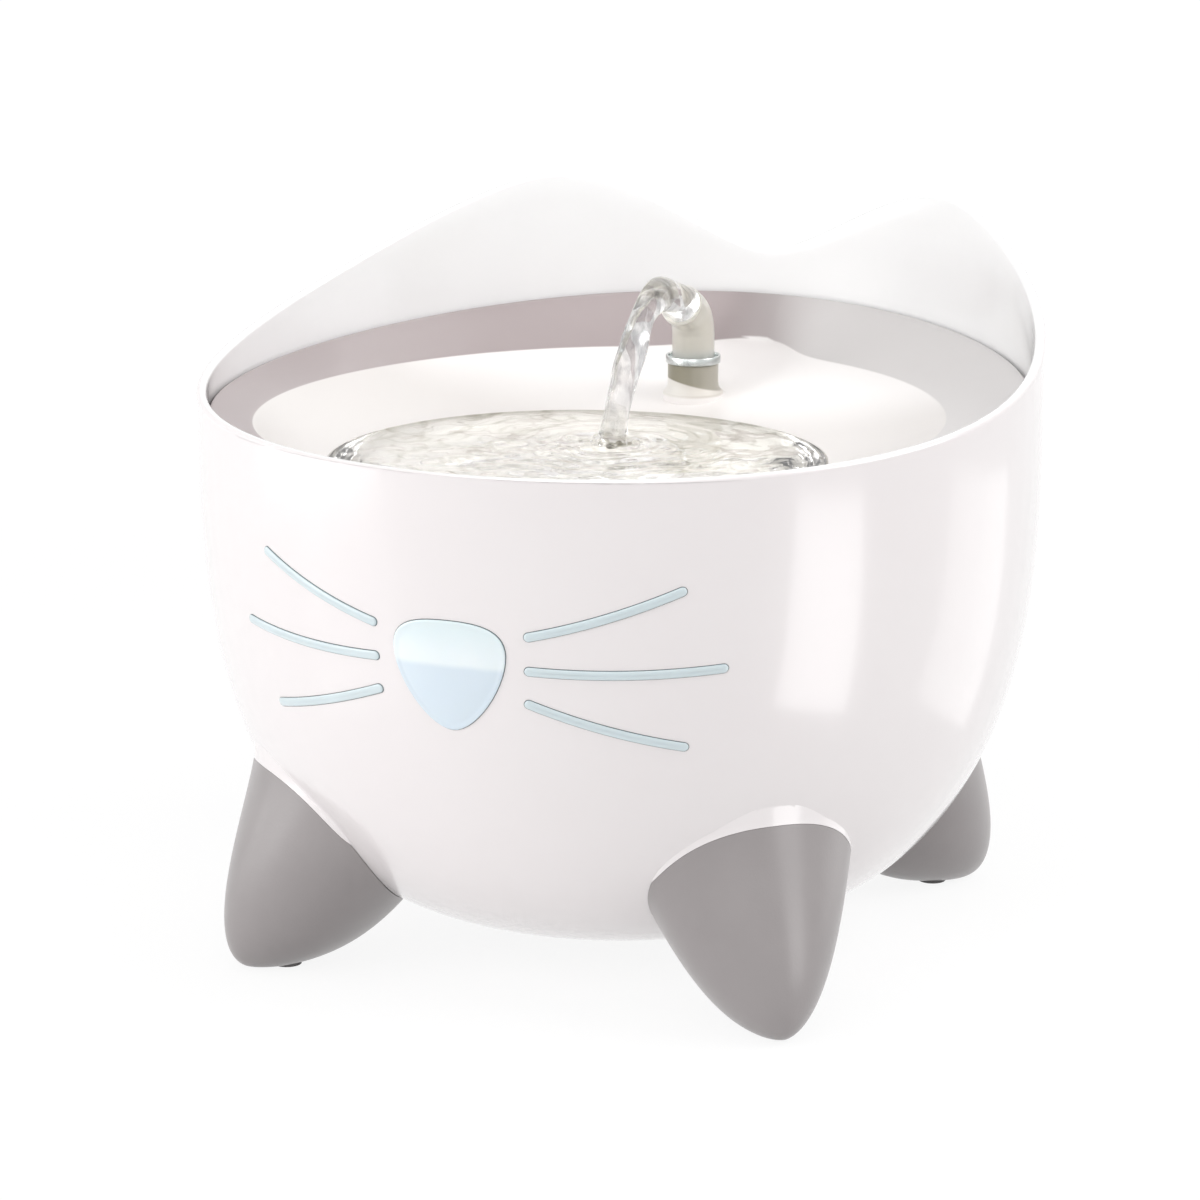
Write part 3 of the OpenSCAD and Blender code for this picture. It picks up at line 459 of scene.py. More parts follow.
def waterMaterial():
    look = waterFinish
    material, flow, shader = newMaterial("water", {
        "Transmission Weight": 1.0, "IOR": 1.333, "Base Color": (1, 1, 1, 1)})
    where = place(flow)
    axes = axesOf(flow, where)
    x, height = axes.out("X"), axes.out("Z")
    slow = grainAt(flow, where, look["slowScale"], 1.0)
    fine = grainAt(flow, where, look["fineScale"], 1.0)
    drift = grainAt(flow, where, look["lineScale"], 1.0, 0.5)
    landing = spread(flow, where, *waterSpec["landing"])
    # painted reflections of the ripples, a painted shade line at the pool's edge and a painted dark
    # patch where the stream lands
    turns = landing * (math.tau / (look["ringLength"] * mm)) + slow * look["ringDrift"]
    rings = turns.math("SINE").step(0.75, 1.0) * fine.step(0.42, 0.6) * look["ringShadeShare"]
    lines = (drift.near(0.5, 0.04) * slow.step(0.4, 0.6) + rings).clamp()
    edge = spread(flow, where, 0, traySpec["poolY"]).rise(*look["edgeR"])
    foot = 1 - spread(flow, where, *look["footAt"]).rise(*look["footR"])
    mark = lines * look["lineShadeShare"] + edge * look["edgeShadeShare"] + foot * look["landingShadeShare"]
    # painted shade: the pool darkens towards its left corner
    calm = x.rise(*look["shadedCornerX"]).blendColours(look["corner"], look["shaded"])
    calm = x.rise(*look["shadedX"]).blendColours(calm, look["open"])
    pool = mark.clamp().blendColours(calm, look["mark"])
    drawn = flow.node("ShaderNodeMapping", {}, {"Vector": where, "Scale": (1, 1, 0.2)})
    # painted reflections: dark streaks down the stream
    streak = grainAt(flow, drawn, look["fallScale"], 2.0).step(0.42, 0.62)
    fall = streak.blendColours(look["fall"], look["streak"])
    above = height.rise(*look["fallZ"])  # 0 in the pool, 1 in the stream
    clear = height.rise(*look["fadeZ"]) * (look["fadeHigh"] - look["fadeLow"]) - (1 - look["fadeLow"])
    rays = flow.node("ShaderNodeLightPath", {}, {}, 0)
    shade, bounce = rays.out("Is Shadow Ray"), rays.out("Is Diffuse Ray")
    # the water throws a faint shadow and no sharp glints
    wire(flow, shader, Base_Color=above.blendColours(pool, fall), Roughness=fine * 0.02 + bounce * 0.6,
         Alpha=(above * clear + 1.0) * (1 - shade * (1 - look["shadow"])),
         Normal=bumpOf(flow, slow * 2.0 + fine * 0.6, 0.3, 0.001))
    return material


# mesh helpers
def sheetOf(across, along, shape):  # a grid bent to the places that shape gives
    bm = bmesh.new()
    bmesh.ops.create_grid(bm, x_segments=across, y_segments=along, size=0.5)
    for vert in bm.verts:
        i, j = round((vert.co.x + 0.5) * across), round((vert.co.y + 0.5) * along)
        vert.co = Vector(shape(i, j)) * mm
    bmesh.ops.remove_doubles(bm, verts=bm.verts, dist=weld)
    return bm


def quarterTurn(steps):
    return [math.radians(90 * k / steps) for k in range(steps + 1)]


def closed(bm):  # its open ends filled
    bmesh.ops.holes_fill(bm, edges=[edge for edge in bm.edges if edge.is_boundary])
    bmesh.ops.recalc_face_normals(bm, faces=bm.faces)
    return bm


def spun(profile, steps, centre=(0, 0)):  # the profile's pairs are radius and height
    bm = bmesh.new()
    ends = [bm.verts.new((r * mm, 0, z * mm)) for r, z in profile]
    edges = [bm.edges.new(pair) for pair in zip(ends, ends[1:])]
    bmesh.ops.spin(bm, geom=ends + edges, cent=(0, 0, 0), axis=(0, 0, 1), angle=math.tau, steps=steps,
                   use_merge=True)
    bmesh.ops.remove_doubles(bm, verts=bm.verts, dist=weld)
    bmesh.ops.translate(bm, verts=bm.verts, vec=Vector((centre[0], centre[1], 0)) * mm)
    bmesh.ops.recalc_face_normals(bm, faces=bm.faces)
    return bm


def rod(radius, low, high, centre, segments=48, turn=None):
    bm = bmesh.new()
    bmesh.ops.create_cone(bm, cap_ends=True, segments=segments, radius1=radius * mm,
                          radius2=radius * mm, depth=(high - low) * mm)
    bmesh.ops.translate(bm, verts=bm.verts, vec=(0, 0, (high + low) / 2 * mm))
    if turn:
        bmesh.ops.rotate(bm, verts=bm.verts, cent=(0, 0, 0), matrix=turn)
    bmesh.ops.translate(bm, verts=bm.verts, vec=Vector(centre) * mm)
    return bm


def turned(bm, degrees):
    turn = Matrix.Rotation(math.radians(degrees), 3, "Z")
    bmesh.ops.rotate(bm, verts=bm.verts, cent=(0, 0, 0), matrix=turn)
    return bm


def together(*parts):
    whole = bmesh.new()
    for part in parts:
        mesh = bpy.data.meshes.new("part")
        part.to_mesh(mesh)
        part.free()
        whole.from_mesh(mesh)
        bpy.data.meshes.remove(mesh)
    return whole


def helper(bm):
    mesh = bpy.data.meshes.new("helper")
    bm.to_mesh(mesh)
    bm.free()
    item = bpy.data.objects.new("helper", mesh)
    scene.collection.objects.link(item)
    return item


def carved(bm, cutter, operation="DIFFERENCE"):
    body, tool = helper(bm), helper(cutter)
    modifier = body.modifiers.new("carve", "BOOLEAN")
    modifier.operation = operation
    modifier.solver = "EXACT"
    modifier.object = tool
    result = body.evaluated_get(bpy.context.evaluated_depsgraph_get())
    mesh = bpy.data.meshes.new_from_object(result)
    fresh = bmesh.new()
    fresh.from_mesh(mesh)
    for item in (body, tool):
        old = item.data
        bpy.data.objects.remove(item)
        bpy.data.meshes.remove(old)
    bpy.data.meshes.remove(mesh)
    return fresh


def finished(name, bm, body, material, stands, smoothLimit, normalRule=None):
    bmesh.ops.remove_doubles(bm, verts=bm.verts, dist=weld)
    bmesh.ops.recalc_face_normals(bm, faces=bm.faces)
    limit = math.radians(smoothLimit)
    for edge in bm.edges:
        edge.smooth = edge.is_manifold and edge.calc_face_angle(0) < limit
    for face in bm.faces:
        face.smooth = True
    mesh = bpy.data.meshes.new(name)
    bm.to_mesh(mesh)
    bm.free()
    if normalRule:
        mesh.normals_split_custom_set(ruledNormals(mesh, normalRule))
    piece = bpy.data.objects.new(name, mesh)
    scene.collection.objects.link(piece)
    mesh.materials.append(material)
    if isinstance(body, str):
        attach(piece, body)
    else:  # a tuple of bodies and bend places: the piece is not attached, its transform is only baked
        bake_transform(piece)
    if stands:
        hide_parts(*stands)
    return piece


def ruledNormals(mesh, rule):  # a rule gives a corner's normal, or nothing where it stays
    normals = [Vector(corner.vector) for corner in mesh.corner_normals]
    for face in mesh.polygons:
        for index in face.loop_indices:
            found = rule(mesh.vertices[mesh.loops[index].vertex_index].co, face.normal)
            if found:
                normals[index] = found
    return normals


# bowl
bowlSpec = {
    "rimR": 115.0, "wall": 2.8, "baseR": 42.5, "underside": 10.6, "sideH": 140.0, "rise": 2.93,
    "turn": 1.915, "rimFront": 140.2, "earTop": 184.37, "notch": 162.6, "earAngle": 33.0,
    "earFall": 42.8, "notchRound": 0.8, "fallRound": 1.45, "rimRound": 1.15, "ledgeZ": 139.5,
    "ledgeW": 3.4, "ledgeT": 1.6, "rows": 44, "steps": 288, "screwR": 1.8, "footAxisR": 98.0,
    "bossR": 4.2, "bossZ": 32.0, "bossTop": 59.0, "holeZ": (20, 46), "glandZ": 125.5, "glandR": 4.55,
    "glandY": (104, 120), "pegAt": 24.0, "pegR": 3.3, "cupY": 16.0, "pegAngles": (30, 150, 270),
    "collarW": 1.4, "collarZ": (13.3, 15.8), "collarSoft": 0.3, "ledgeSoft": 0.4,
    "pocketTop": 170, "pocketRows": 60,
    "crown": 190.0, "steadyZ": 150.6,  # the rim before its fit, and the last height that keeps its own
    "evenZ": (12, 150.4), "evenGap": 0.03, "evenFacing": 0.93,  # where the outside shades evenly
    "litLiningZ": 139.0,  # where the lining starts, its lighter white painted light inside the bowl
}


def sideR(h, rTop, rFlat, hTop):
    share = 1 - max(0.0, min(h, hTop)) / hTop
    return rFlat + (rTop - rFlat) * (1 - share ** bowlSpec["rise"]) ** (1 / bowlSpec["turn"])


def outerR(z):
    spec = bowlSpec
    return sideR(z - spec["underside"], spec["rimR"], spec["baseR"], spec["sideH"])


def rimHeight(angle):  # angle from the back
    spec = bowlSpec
    b = abs((angle + 180) % 360 - 180)
    if b < spec["earAngle"]:
        climb = (1 - math.cos(math.pi * (b / spec["earAngle"]) ** spec["notchRound"])) / 2
        return spec["underside"] + spec["notch"] + (spec["earTop"] - spec["notch"]) * climb
    fall = math.exp(-(((b - spec["earAngle"]) / spec["earFall"]) ** spec["fallRound"]))
    return spec["underside"] + spec["rimFront"] + (spec["earTop"] - spec["rimFront"]) * fall


def wallRows(rTop, rFlat, hTop, z0, rows):  # closer together near the flat bottom
    heights = [hTop * (i / rows) ** 2 for i in range(rows + 1)]
    return [(sideR(h, rTop, rFlat, hTop), z0 + h) for h in heights]


def outerSolid(grow):  # the bowl's outside as a solid, for cutting pockets
    spec = bowlSpec
    low, top, r = spec["underside"] - grow, spec["pocketTop"], spec["rimR"] + grow
    side = wallRows(r, spec["baseR"] + grow, spec["sideH"] + grow, low, spec["pocketRows"])
    return spun([(0, low)] + side + [(r, top), (0, top)], 192)


def innerSolid(grow):  # its hollow as a solid
    spec = bowlSpec
    wall, top = spec["wall"], spec["pocketTop"]
    base = spec["baseR"] - wall / 2
    side = wallRows(spec["rimR"] - wall + grow, base + grow, spec["sideH"] - wall + grow,
                    spec["underside"] + wall - grow, spec["pocketRows"])
    return spun([(0, side[0][1])] + side + [(side[-1][0], top), (0, top)], 192)


def shellProfile(crown):  # half section of the shell, its rim at the height crown
    spec = bowlSpec
    wall, rows, inner = spec["wall"], spec["rows"], spec["rimR"] - spec["wall"]
    floor = spec["underside"] + wall
    outside = wallRows(spec["rimR"], spec["baseR"], spec["sideH"], spec["underside"], rows)
    inside = wallRows(inner, spec["baseR"] - wall / 2, spec["sideH"] - wall, floor, rows)
    ledgeLow = spec["ledgeZ"] - spec["ledgeT"]
    foot = ledgeLow - spec["ledgeW"] - wall / 2
    soft, quarter = spec["rimRound"], quarterTurn(6)
    top = crown - soft
    rim = [(spec["rimR"] - soft + soft * math.cos(q), top + soft * math.sin(q)) for q in quarter]
    back = [(inner + soft - soft * math.sin(q), top + soft * math.cos(q)) for q in quarter]
    upright = [(spec["rimR"], outside[-1][1] + (top - outside[-1][1]) * k / 8) for k in range(1, 8)]
    falling = [(inner, top + (spec["ledgeZ"] - top) * k / 10) for k in range(1, 11)]
    ledgeR, edge = inner - spec["ledgeW"], spec["ledgeSoft"]
    ledge = [(ledgeR + edge, spec["ledgeZ"]), (ledgeR, spec["ledgeZ"] - edge), (ledgeR, ledgeLow)]
    below = [p for p in reversed(inside) if p[1] < foot]
    up, down = outside + upright + rim, back + falling + ledge + below
    return [(0, spec["underside"])] + up + down + [(0, floor)]


def shellBody():  # spun with a level crown, whose upper part then follows the eared rim
    spec = bowlSpec
    crown, steady = spec["crown"], spec["steadyZ"]
    bm = spun(shellProfile(crown), spec["steps"])
    for vert in bm.verts:
        z = vert.co.z / mm
        if z <= steady:
            continue
        rim = rimHeight(math.degrees(math.atan2(vert.co.x, vert.co.y)))
        edge = crown - spec["rimRound"]
        if z >= edge - 0.001:
            z += rim - crown
        else:
            z = steady + (z - steady) * (rim - spec["rimRound"] - steady) / (edge - steady)
        vert.co.z = z * mm
    return bm


# feet and the brows over them: one claw form, parted by an arched lip
footSpec = {
    "height": 57.0, "halfW": 34.5, "lipR": 104.6, "bulge": 24.8, "heelR": 103.5, "heelRun": 65.17,
    "egg": 0.16, "sole": 1.0, "brow": 9.0, "rings": 56, "sides": 120, "archHalfW": 29.0,
    "archDrop": 22.4, "archPower": 2.2, "padR": 4.0, "padT": 2.5, "screwR": 2.05, "headR": 3.3,
    "headZ": 26.0, "screwTop": 33.0, "bossGap": 0.3, "angles": (-45, 45, 135, 225),
    "outPower": 0.356, "tipPower": 1.25, "heelPower": 0.394, "widthPower": 0.484, "square": 0.1,
}


def clawBody():  # u runs from the sole to the seam, and the claw narrows both ways from its bulge
    spec = footSpec
    tall = spec["height"] + spec["brow"] - spec["sole"]

    def shape(i, j):
        z = spec["sole"] + tall * (1 - math.cos(math.pi * j / spec["rings"])) / 2
        u, q = z / spec["height"], math.tau * i / spec["sides"]
        out = spec["lipR"] + spec["bulge"] * u ** spec["outPower"] * max(0.0, 1 - u) ** spec["tipPower"]
        heel = spec["heelR"] - spec["heelRun"] * u ** spec["heelPower"]
        half = spec["halfW"] * u ** spec["widthPower"] * (1 + spec["egg"] * math.cos(q))
        half = half * (1 - spec["square"] * math.cos(2 * q)) / (1 + spec["square"])
        return ((out + heel) / 2 + (out - heel) / 2 * math.cos(q), half * math.sin(q), z)

    return closed(sheetOf(spec["sides"], spec["rings"], shape))


def lipArch(grow):  # what lies under the seam between a foot and its brow
    spec = footSpec
    bm = bmesh.new()
    bmesh.ops.create_circle(bm, cap_ends=True, segments=144, radius=1)
    for vert in bm.verts:
        c, s, power = vert.co.x, vert.co.y, 2 / spec["archPower"]
        low = s < -1e-5
        across = c if low else math.copysign(abs(c) ** power, c)
        up = spec["height"] - spec["archDrop"] + (spec["archDrop"] + grow) * abs(s) ** power
        vert.co = Vector((0, across * (spec["archHalfW"] + grow), -1 if low else up)) * mm
    grown = bmesh.ops.extrude_face_region(bm, geom=list(bm.faces))
    far = [item for item in grown["geom"] if isinstance(item, bmesh.types.BMVert)]
    bmesh.ops.translate(bm, verts=far, vec=Vector((150, 0, 0)) * mm)
    bmesh.ops.recalc_face_normals(bm, faces=bm.faces)
    return bm


def footBody():
    spec, bowl = footSpec, bowlSpec
    axis = (bowl["footAxisR"], 0, 0)
    bm = carved(clawBody(), lipArch(-0.1), "INTERSECT")
    bm = carved(bm, outerSolid(0.1))
    bm = carved(bm, rod(spec["padR"], -1, spec["padT"], axis))
    bm = carved(bm, rod(spec["headR"], 1, spec["headZ"], axis))
    bm = carved(bm, rod(spec["screwR"], 20, spec["screwTop"], axis))
    return carved(bm, rod(bowl["bossR"] + spec["bossGap"], bowl["bossZ"] - 0.1, 70, axis))


def makeFeet(kit):
    names = ("foot_front_left", "foot_front_right", "foot_rear_right", "foot_rear_left")
    pattern = footBody()
    for name, angle in zip(names, footSpec["angles"]):
        bm = turned(pattern.copy(), angle - 90)
        label = "clawFoot" + "".join(word.capitalize() for word in name.split("_")[1:])
        finished(label, bm, "bowl", kit["footGrey"], [name], 38)
    pattern.free()
    print("feet made")


# face windows
windowSpec = {
    "noseW": 31.0, "noseH": 29.4, "noseTop": 113.4, "gap": 0.12, "slot": ((0, -4.5), (0, 2.5)),
    "noseRim": 0.3, "whiskerRim": 0.25,
    "noseCurve": ((0, 1), (0.55, 1), (1, 0.96), (1, 0.72), (1, 0.44), (0.42, 0), (0, 0)),
    # each dome's pairs say how far in from the outline and how far out of the wall
    "noseDome": ((0, -1.7), (0, 0.0), (0, 0.22), (0.12, 0.4), (0.35, 0.5), (0.9, 0.5), (1.3, 0.42),
                 (2.2, 0.55), (4.5, 0.8), (8, 1.0), (12, 1.1), (14.3, 1.12)),
    "whiskerW": 2.4, "root": 20.0, "sag": 0.8, "faceR": 113.0, "rootZ": (110.2, 101.5, 93.0),
    "tip": (61.0, 71.7, 61.5), "tipZ": (123.2, 102.3, 81.1),
    "whiskerDome": ((0, -1.7), (0, 0.0), (0, 0.18), (0.12, 0.34), (0.4, 0.46), (0.8, 0.5), (1.15, 0.5)),
}


def bezier(points, first, t):
    a, b, c, d = (Vector(p) for p in points[first:first + 4])
    return (1 - t) ** 3 * a + 3 * (1 - t) ** 2 * t * b + 3 * (1 - t) * t * t * c + t ** 3 * d


def noseOutline(inset, steps=14):
    spec = windowSpec
    w, h, top = spec["noseW"] - 2 * inset, spec["noseH"] - 2 * inset, spec["noseTop"] - inset
    half = [bezier(spec["noseCurve"], first, k / steps)
            for first in (0, 3) for k in range(steps + (first == 3))]
    right = [(p.x * w / 2, top - h + p.y * h) for p in half]
    return right + [(-x, z) for x, z in reversed(right[1:-1])]


def stripOutline(length, width, sag, steps=12):  # a bent strip with round ends
    bend = (length ** 2 / 4 + sag ** 2) / (2 * sag)
    lean = math.asin(length / 2 / bend)
    half, centre = math.degrees(lean), Vector((0, bend - sag))

    def arc(middle, radius, start, end, count):
        angles = [math.radians(start + (end - start) * k / count) for k in range(count + 1)]
        return [middle + radius * Vector((math.cos(a), math.sin(a))) for a in angles]

    ends = [centre + bend * Vector((side * math.sin(lean), -math.cos(lean))) for side in (-1, 1)]
    return (arc(centre, bend + width / 2, -90 - half, -90 + half, steps)
            + arc(ends[1], width / 2, -75 + half, 75 + half, 6)
            + arc(centre, bend - width / 2, -90 + half, -90 - half, steps)
            + arc(ends[0], width / 2, 105 - half, 255 - half, 6))


def markRim(piece, reach):  # the rings that stand out of the wall by less than reach read darker
    level = piece.data.attributes.new("rim", "FLOAT", "POINT")
    for vert, item in zip(piece.data.vertices, level.data):
        x, z = vert.co.x / mm, vert.co.z / mm
        item.value = float(math.hypot(x, vert.co.y / mm) - outerR(z) < reach)


def windowBody(outlineAt, levels, turn=0.0):  # rings of an outline, one for each level, on the wall
    rings = [outlineAt(inset) for inset, _ in levels]
    count = len(rings[0])

    def shape(i, j):
        x, z = rings[j][i % count]
        r = outerR(z) + levels[j][1]
        return (x, -math.sqrt(r * r - x * x), z)

    return turned(closed(sheetOf(count, len(levels) - 1, shape)), turn)


def whiskerPlace(k):
    spec = windowSpec
    root, tip = spec["root"], spec["tip"][k]
    turn = math.degrees((root + tip) / 2 / spec["faceR"])
    halfX = spec["faceR"] * math.sin((tip - root) / 2 / spec["faceR"])
    rise = spec["tipZ"][k] - spec["rootZ"][k]
    return turn, halfX, rise, (spec["tipZ"][k] + spec["rootZ"][k]) / 2


def whiskerBody(side, k, levels, grow=0.0):
    spec = windowSpec
    turn, halfX, rise, middle = whiskerPlace(k)
    tilt = Matrix.Rotation(math.atan2(rise / 2, halfX), 2)
    length = 2 * math.hypot(halfX, rise / 2) - spec["whiskerW"]

    def outlineAt(inset):
        strip = stripOutline(length, spec["whiskerW"] + 2 * grow - 2 * inset, spec["sag"])
        return [(side * p.x, p.y + middle) for p in (tilt @ point for point in strip)]

    return windowBody(outlineAt, levels, side * turn)


def makeFace(kit):
    spec, material = windowSpec, kit["windowBlue"]
    nose = finished("noseWindow", windowBody(noseOutline, spec["noseDome"]), "bowl",
                    material, ["nose_lens"], 50)
    markRim(nose, spec["noseRim"])
    for side, name in ((-1, "left"), (1, "right")):
        strips = together(*[whiskerBody(side, k, spec["whiskerDome"]) for k in range(3)])
        whiskers = finished("whiskers" + name.capitalize(), strips, "bowl", material,
                            ["whisker_lenses_" + name], 50)
        markRim(whiskers, spec["whiskerRim"])
    print("face windows made")


def slotCutters():
    gap, through = windowSpec["gap"], windowSpec["slot"]
    parts = [windowBody(lambda inset: noseOutline(-gap), through)]
    parts += [whiskerBody(side, k, through, gap) for side in (-1, 1) for k in range(3)]
    return together(*parts)


def wallNormal(co, faceNormal):  # the outside shades as its true curve, past every pocket
    spec = bowlSpec
    r, z = math.hypot(co.x, co.y) / mm, co.z / mm
    if not spec["evenZ"][0] <= z <= spec["evenZ"][1] or abs(r - outerR(z)) > spec["evenGap"]:
        return None
    slope = (outerR(z + 0.05) - outerR(z - 0.05)) / 0.1
    normal = Vector((co.x / (r * mm), co.y / (r * mm), -slope)).normalized()
    return normal if normal.dot(faceNormal) > spec["evenFacing"] else None


def pegCollar(angle):  # a low ring that holds one of the filter cup's pegs
    spec = bowlSpec
    r, wide, soft = spec["pegR"], spec["pegR"] + spec["collarW"], spec["collarSoft"]
    low, high = spec["collarZ"]
    section = [(r, low), (wide, low), (wide, high - soft), (wide - soft, high), (r, high), (r, low)]
    ring = spun(section, 48)
    a = math.radians(angle)
    offset = Vector((spec["pegAt"] * math.cos(a), spec["cupY"] + spec["pegAt"] * math.sin(a), 0)) * mm
    bmesh.ops.translate(ring, verts=ring.verts, vec=offset)
    return ring


def makeBowl(kit):
    spec = bowlSpec
    angles, axis = [a - 90 for a in footSpec["angles"]], (spec["footAxisR"], 0, 0)
    shell = shellBody()
    brow = carved(carved(clawBody(), lipArch(0)), innerSolid(1.0))
    shell = carved(shell, together(*[turned(brow.copy(), a) for a in angles]), "UNION")
    bosses = [turned(rod(spec["bossR"], spec["bossZ"], spec["bossTop"], axis), a) for a in angles]
    shell = carved(shell, carved(together(*bosses), innerSolid(1.0)), "UNION")
    shell = carved(shell, slotCutters())
    holes = [turned(rod(spec["screwR"], *spec["holeZ"], axis, 24), a) for a in angles]
    across = Matrix.Rotation(math.radians(-90), 3, "X")
    holes.append(rod(spec["glandR"], *spec["glandY"], (0, 0, spec["glandZ"]), 48, across))
    shell = carved(shell, together(*holes))
    whole = together(shell, *[pegCollar(angle) for angle in spec["pegAngles"]])
    bowl = finished("bowlShell", whole, "bowl", kit["shellWhite"], ["body_shell"], 18,
                    wallNormal)
    # the inside points carry the lighter lining, painted light
    level = bowl.data.attributes.new("inside", "FLOAT", "POINT")
    for vert, item in zip(bowl.data.vertices, level.data):
        r = math.hypot(vert.co.x, vert.co.y) / mm
        item.value = float(vert.co.z / mm > spec["litLiningZ"] and r < spec["rimR"] - spec["rimRound"])
    print("bowl made")


# drinking tray, angles from the back
traySpec = {
    "edgeR": 111.6, "edgeRound": 0.8, "edgeZ": 147.6, "rise": 13.0, "bow": 2.65,
    "lipY": -16.0, "lipR": 92.5, "lipZ": 147.3, "lipSwell": 11.5, "lipPeak": 20.0, "peakWidth": 8.5,
    "poolY": -30.0, "poolR": 67.0, "poolZ": 138.2, "poolDepth": 12.0, "dishBow": 1.25,
    "swellPower": 6, "poolFlat": 12,
    "thick": 2.6, "skirt": 1.8, "seatZ": 139.6, "steps": 288, "lipDrop": 0.12, "lipGap": 0.5,
    "deckShares": (0.06, 0.15, 0.3, 0.5, 0.7, 0.85, 0.92), "lastDeck": 0.945,
    "dishShares": (0.02, 0.06, 0.12, 0.2, 0.3, 0.4, 0.5, 0.6, 0.7, 0.8, 0.88, 0.94, 0.975),
    "shares": (1, 0.99, 0.98, 0.965, 0.95, 0.93, 0.91, 0.885, 0.86, 0.83, 0.79, 0.74, 0.66, 0.55, 0.4,
               0.2, 0),
    "underShares": (0.97, 0.8, 0.5, 0.2),
    "slotSize": (11, 3, 30), "slotRound": 1.4, "slotOut": 5.5, "slotTurn": 11, "slotsEachSide": 2,
    "spoutY": 54.6, "spoutZ": 149.8, "pedestalR": 7.2, "pedestalSoft": 0.3,
    # how far out of the pedestal and how high, then the bore's radius and height down to its end
    "pedestal": ((1.5, 139.0), (1.3, 141.5), (0.5, 142.3), (0.1, 143.2), (0, 144.4)),
    "bore": ((4.3, 146.2), (5.9, 146.0), (5.9, 131.8)),
    "cuspR": 80, "cuspTurn": 16, "cuspNormal": (0.86, 0.5), "cuspFacing": (0.05, -0.3),
}


def trayEdgeZ(a):
    return traySpec["edgeZ"] + traySpec["rise"] * ((1 + math.cos(a)) / 2) ** traySpec["bow"]


def lipAt(a):
    spec = traySpec
    b = math.degrees(math.atan2(math.sin(a), math.cos(a)))
    r = spec["lipR"] + spec["lipSwell"] * ((1 + math.cos(a)) / 2) ** spec["swellPower"]
    r += spec["lipPeak"] * math.exp(-((b / spec["peakWidth"]) ** 2))
    return Vector((r * math.sin(a), spec["lipY"] + r * math.cos(a), spec["lipZ"]))


def poolAt(a, share, depth):
    spec = traySpec
    r = share * spec["poolR"]
    return Vector((r * math.sin(a), spec["poolY"] + r * math.cos(a), spec["poolZ"] - depth))


def poolDepth(share):
    return traySpec["poolDepth"] * (1 - share ** traySpec["poolFlat"])


def traySection(a):  # from the underside's middle out to the edge, and back over the top
    spec = traySpec
    out, up = Vector((math.sin(a), math.cos(a), 0)), Vector((0, 0, 1))
    edge, soft = trayEdgeZ(a), spec["edgeRound"]
    lip, water, down = lipAt(a), poolAt(a, 1, 0), up * spec["thick"]
    brink = out * (spec["edgeR"] - soft) + up * edge

    def deck(f):
        return brink * (1 - f) + lip * f

    def dish(f):
        p = lip * (1 - f) + water * f
        p.z = spec["poolZ"] + (spec["lipZ"] - spec["poolZ"]) * (1 - f) ** spec["dishBow"]
        return p

    inner = out * (spec["edgeR"] - spec["skirt"])
    under = [poolAt(a, share, poolDepth(share)) - down for share in reversed(spec["shares"][3:])]
    under += [dish(f) - down for f in spec["underShares"]] + [lip - down, deck(0.5) - down]
    under += [inner + up * (deck(0.35).z - spec["thick"]), inner + up * spec["seatZ"]]
    top = [out * spec["edgeR"] + up * spec["seatZ"]]
    top += [out * (spec["edgeR"] - soft + soft * math.cos(q))
            + up * (edge - soft + soft * math.sin(q)) for q in quarterTurn(4)]
    # the deck's last ring keeps this far from the lip
    gap = spec["lipGap"]
    near = max(spec["lastDeck"], 1 - gap / max((lip - brink).length, gap))
    top += [deck(f) for f in (*spec["deckShares"], near)] + [lip - up * spec["lipDrop"]]
    top += [dish(f) for f in spec["dishShares"]]
    top += [poolAt(a, share, poolDepth(share)) for share in spec["shares"]]
    return under + top


def deckNormal(co, faceNormal):  # even shading where the tray's cusp crowds the deck
    r, a = math.hypot(co.x, co.y) / mm, math.atan2(co.x, co.y)
    out, (up, inwards) = Vector((math.sin(a), math.cos(a), 0)), traySpec["cuspNormal"]
    leastUp, mostOut = traySpec["cuspFacing"]  # only the deck's own slope
    if r < traySpec["cuspR"] or abs(math.degrees(a)) > traySpec["cuspTurn"]:
        return None
    if faceNormal.z < leastUp or faceNormal.dot(out) > mostOut:
        return None
    return (Vector((0, 0, up)) - out * inwards).normalized()


def pedestalBody():
    spec = traySpec
    r, top, soft, bore = spec["pedestalR"], spec["spoutZ"], spec["pedestalSoft"], spec["bore"]
    outside = [(r + out, z) for out, z in spec["pedestal"]] + [(r, top - soft), (r - soft, top)]
    inside = [(bore[0][0], top), *bore, (r, bore[-1][1])]
    return spun(outside + inside + outside[:1], 72, (0, spec["spoutY"]))


def drainSlots():
    spec, slots = traySpec, []
    for k in range(-spec["slotsEachSide"], spec["slotsEachSide"] + 1):
        box = bmesh.new()
        bmesh.ops.create_cube(box, size=1)
        bmesh.ops.scale(box, verts=box.verts, vec=Vector(spec["slotSize"]) * mm)
        side = [edge for edge in box.edges if abs(edge.verts[0].co.z - edge.verts[1].co.z) > 0.01]
        bmesh.ops.bevel(box, geom=side, offset=spec["slotRound"] * mm, segments=6, profile=0.5,
                        affect="EDGES", material=-1)
        outwards = Vector((0, -(spec["poolR"] + spec["slotOut"]), spec["poolZ"])) * mm
        bmesh.ops.translate(box, verts=box.verts, vec=outwards)
        turned(box, k * spec["slotTurn"])
        bmesh.ops.translate(box, verts=box.verts, vec=Vector((0, spec["poolY"], 0)) * mm)
        slots.append(box)
    return together(*slots)


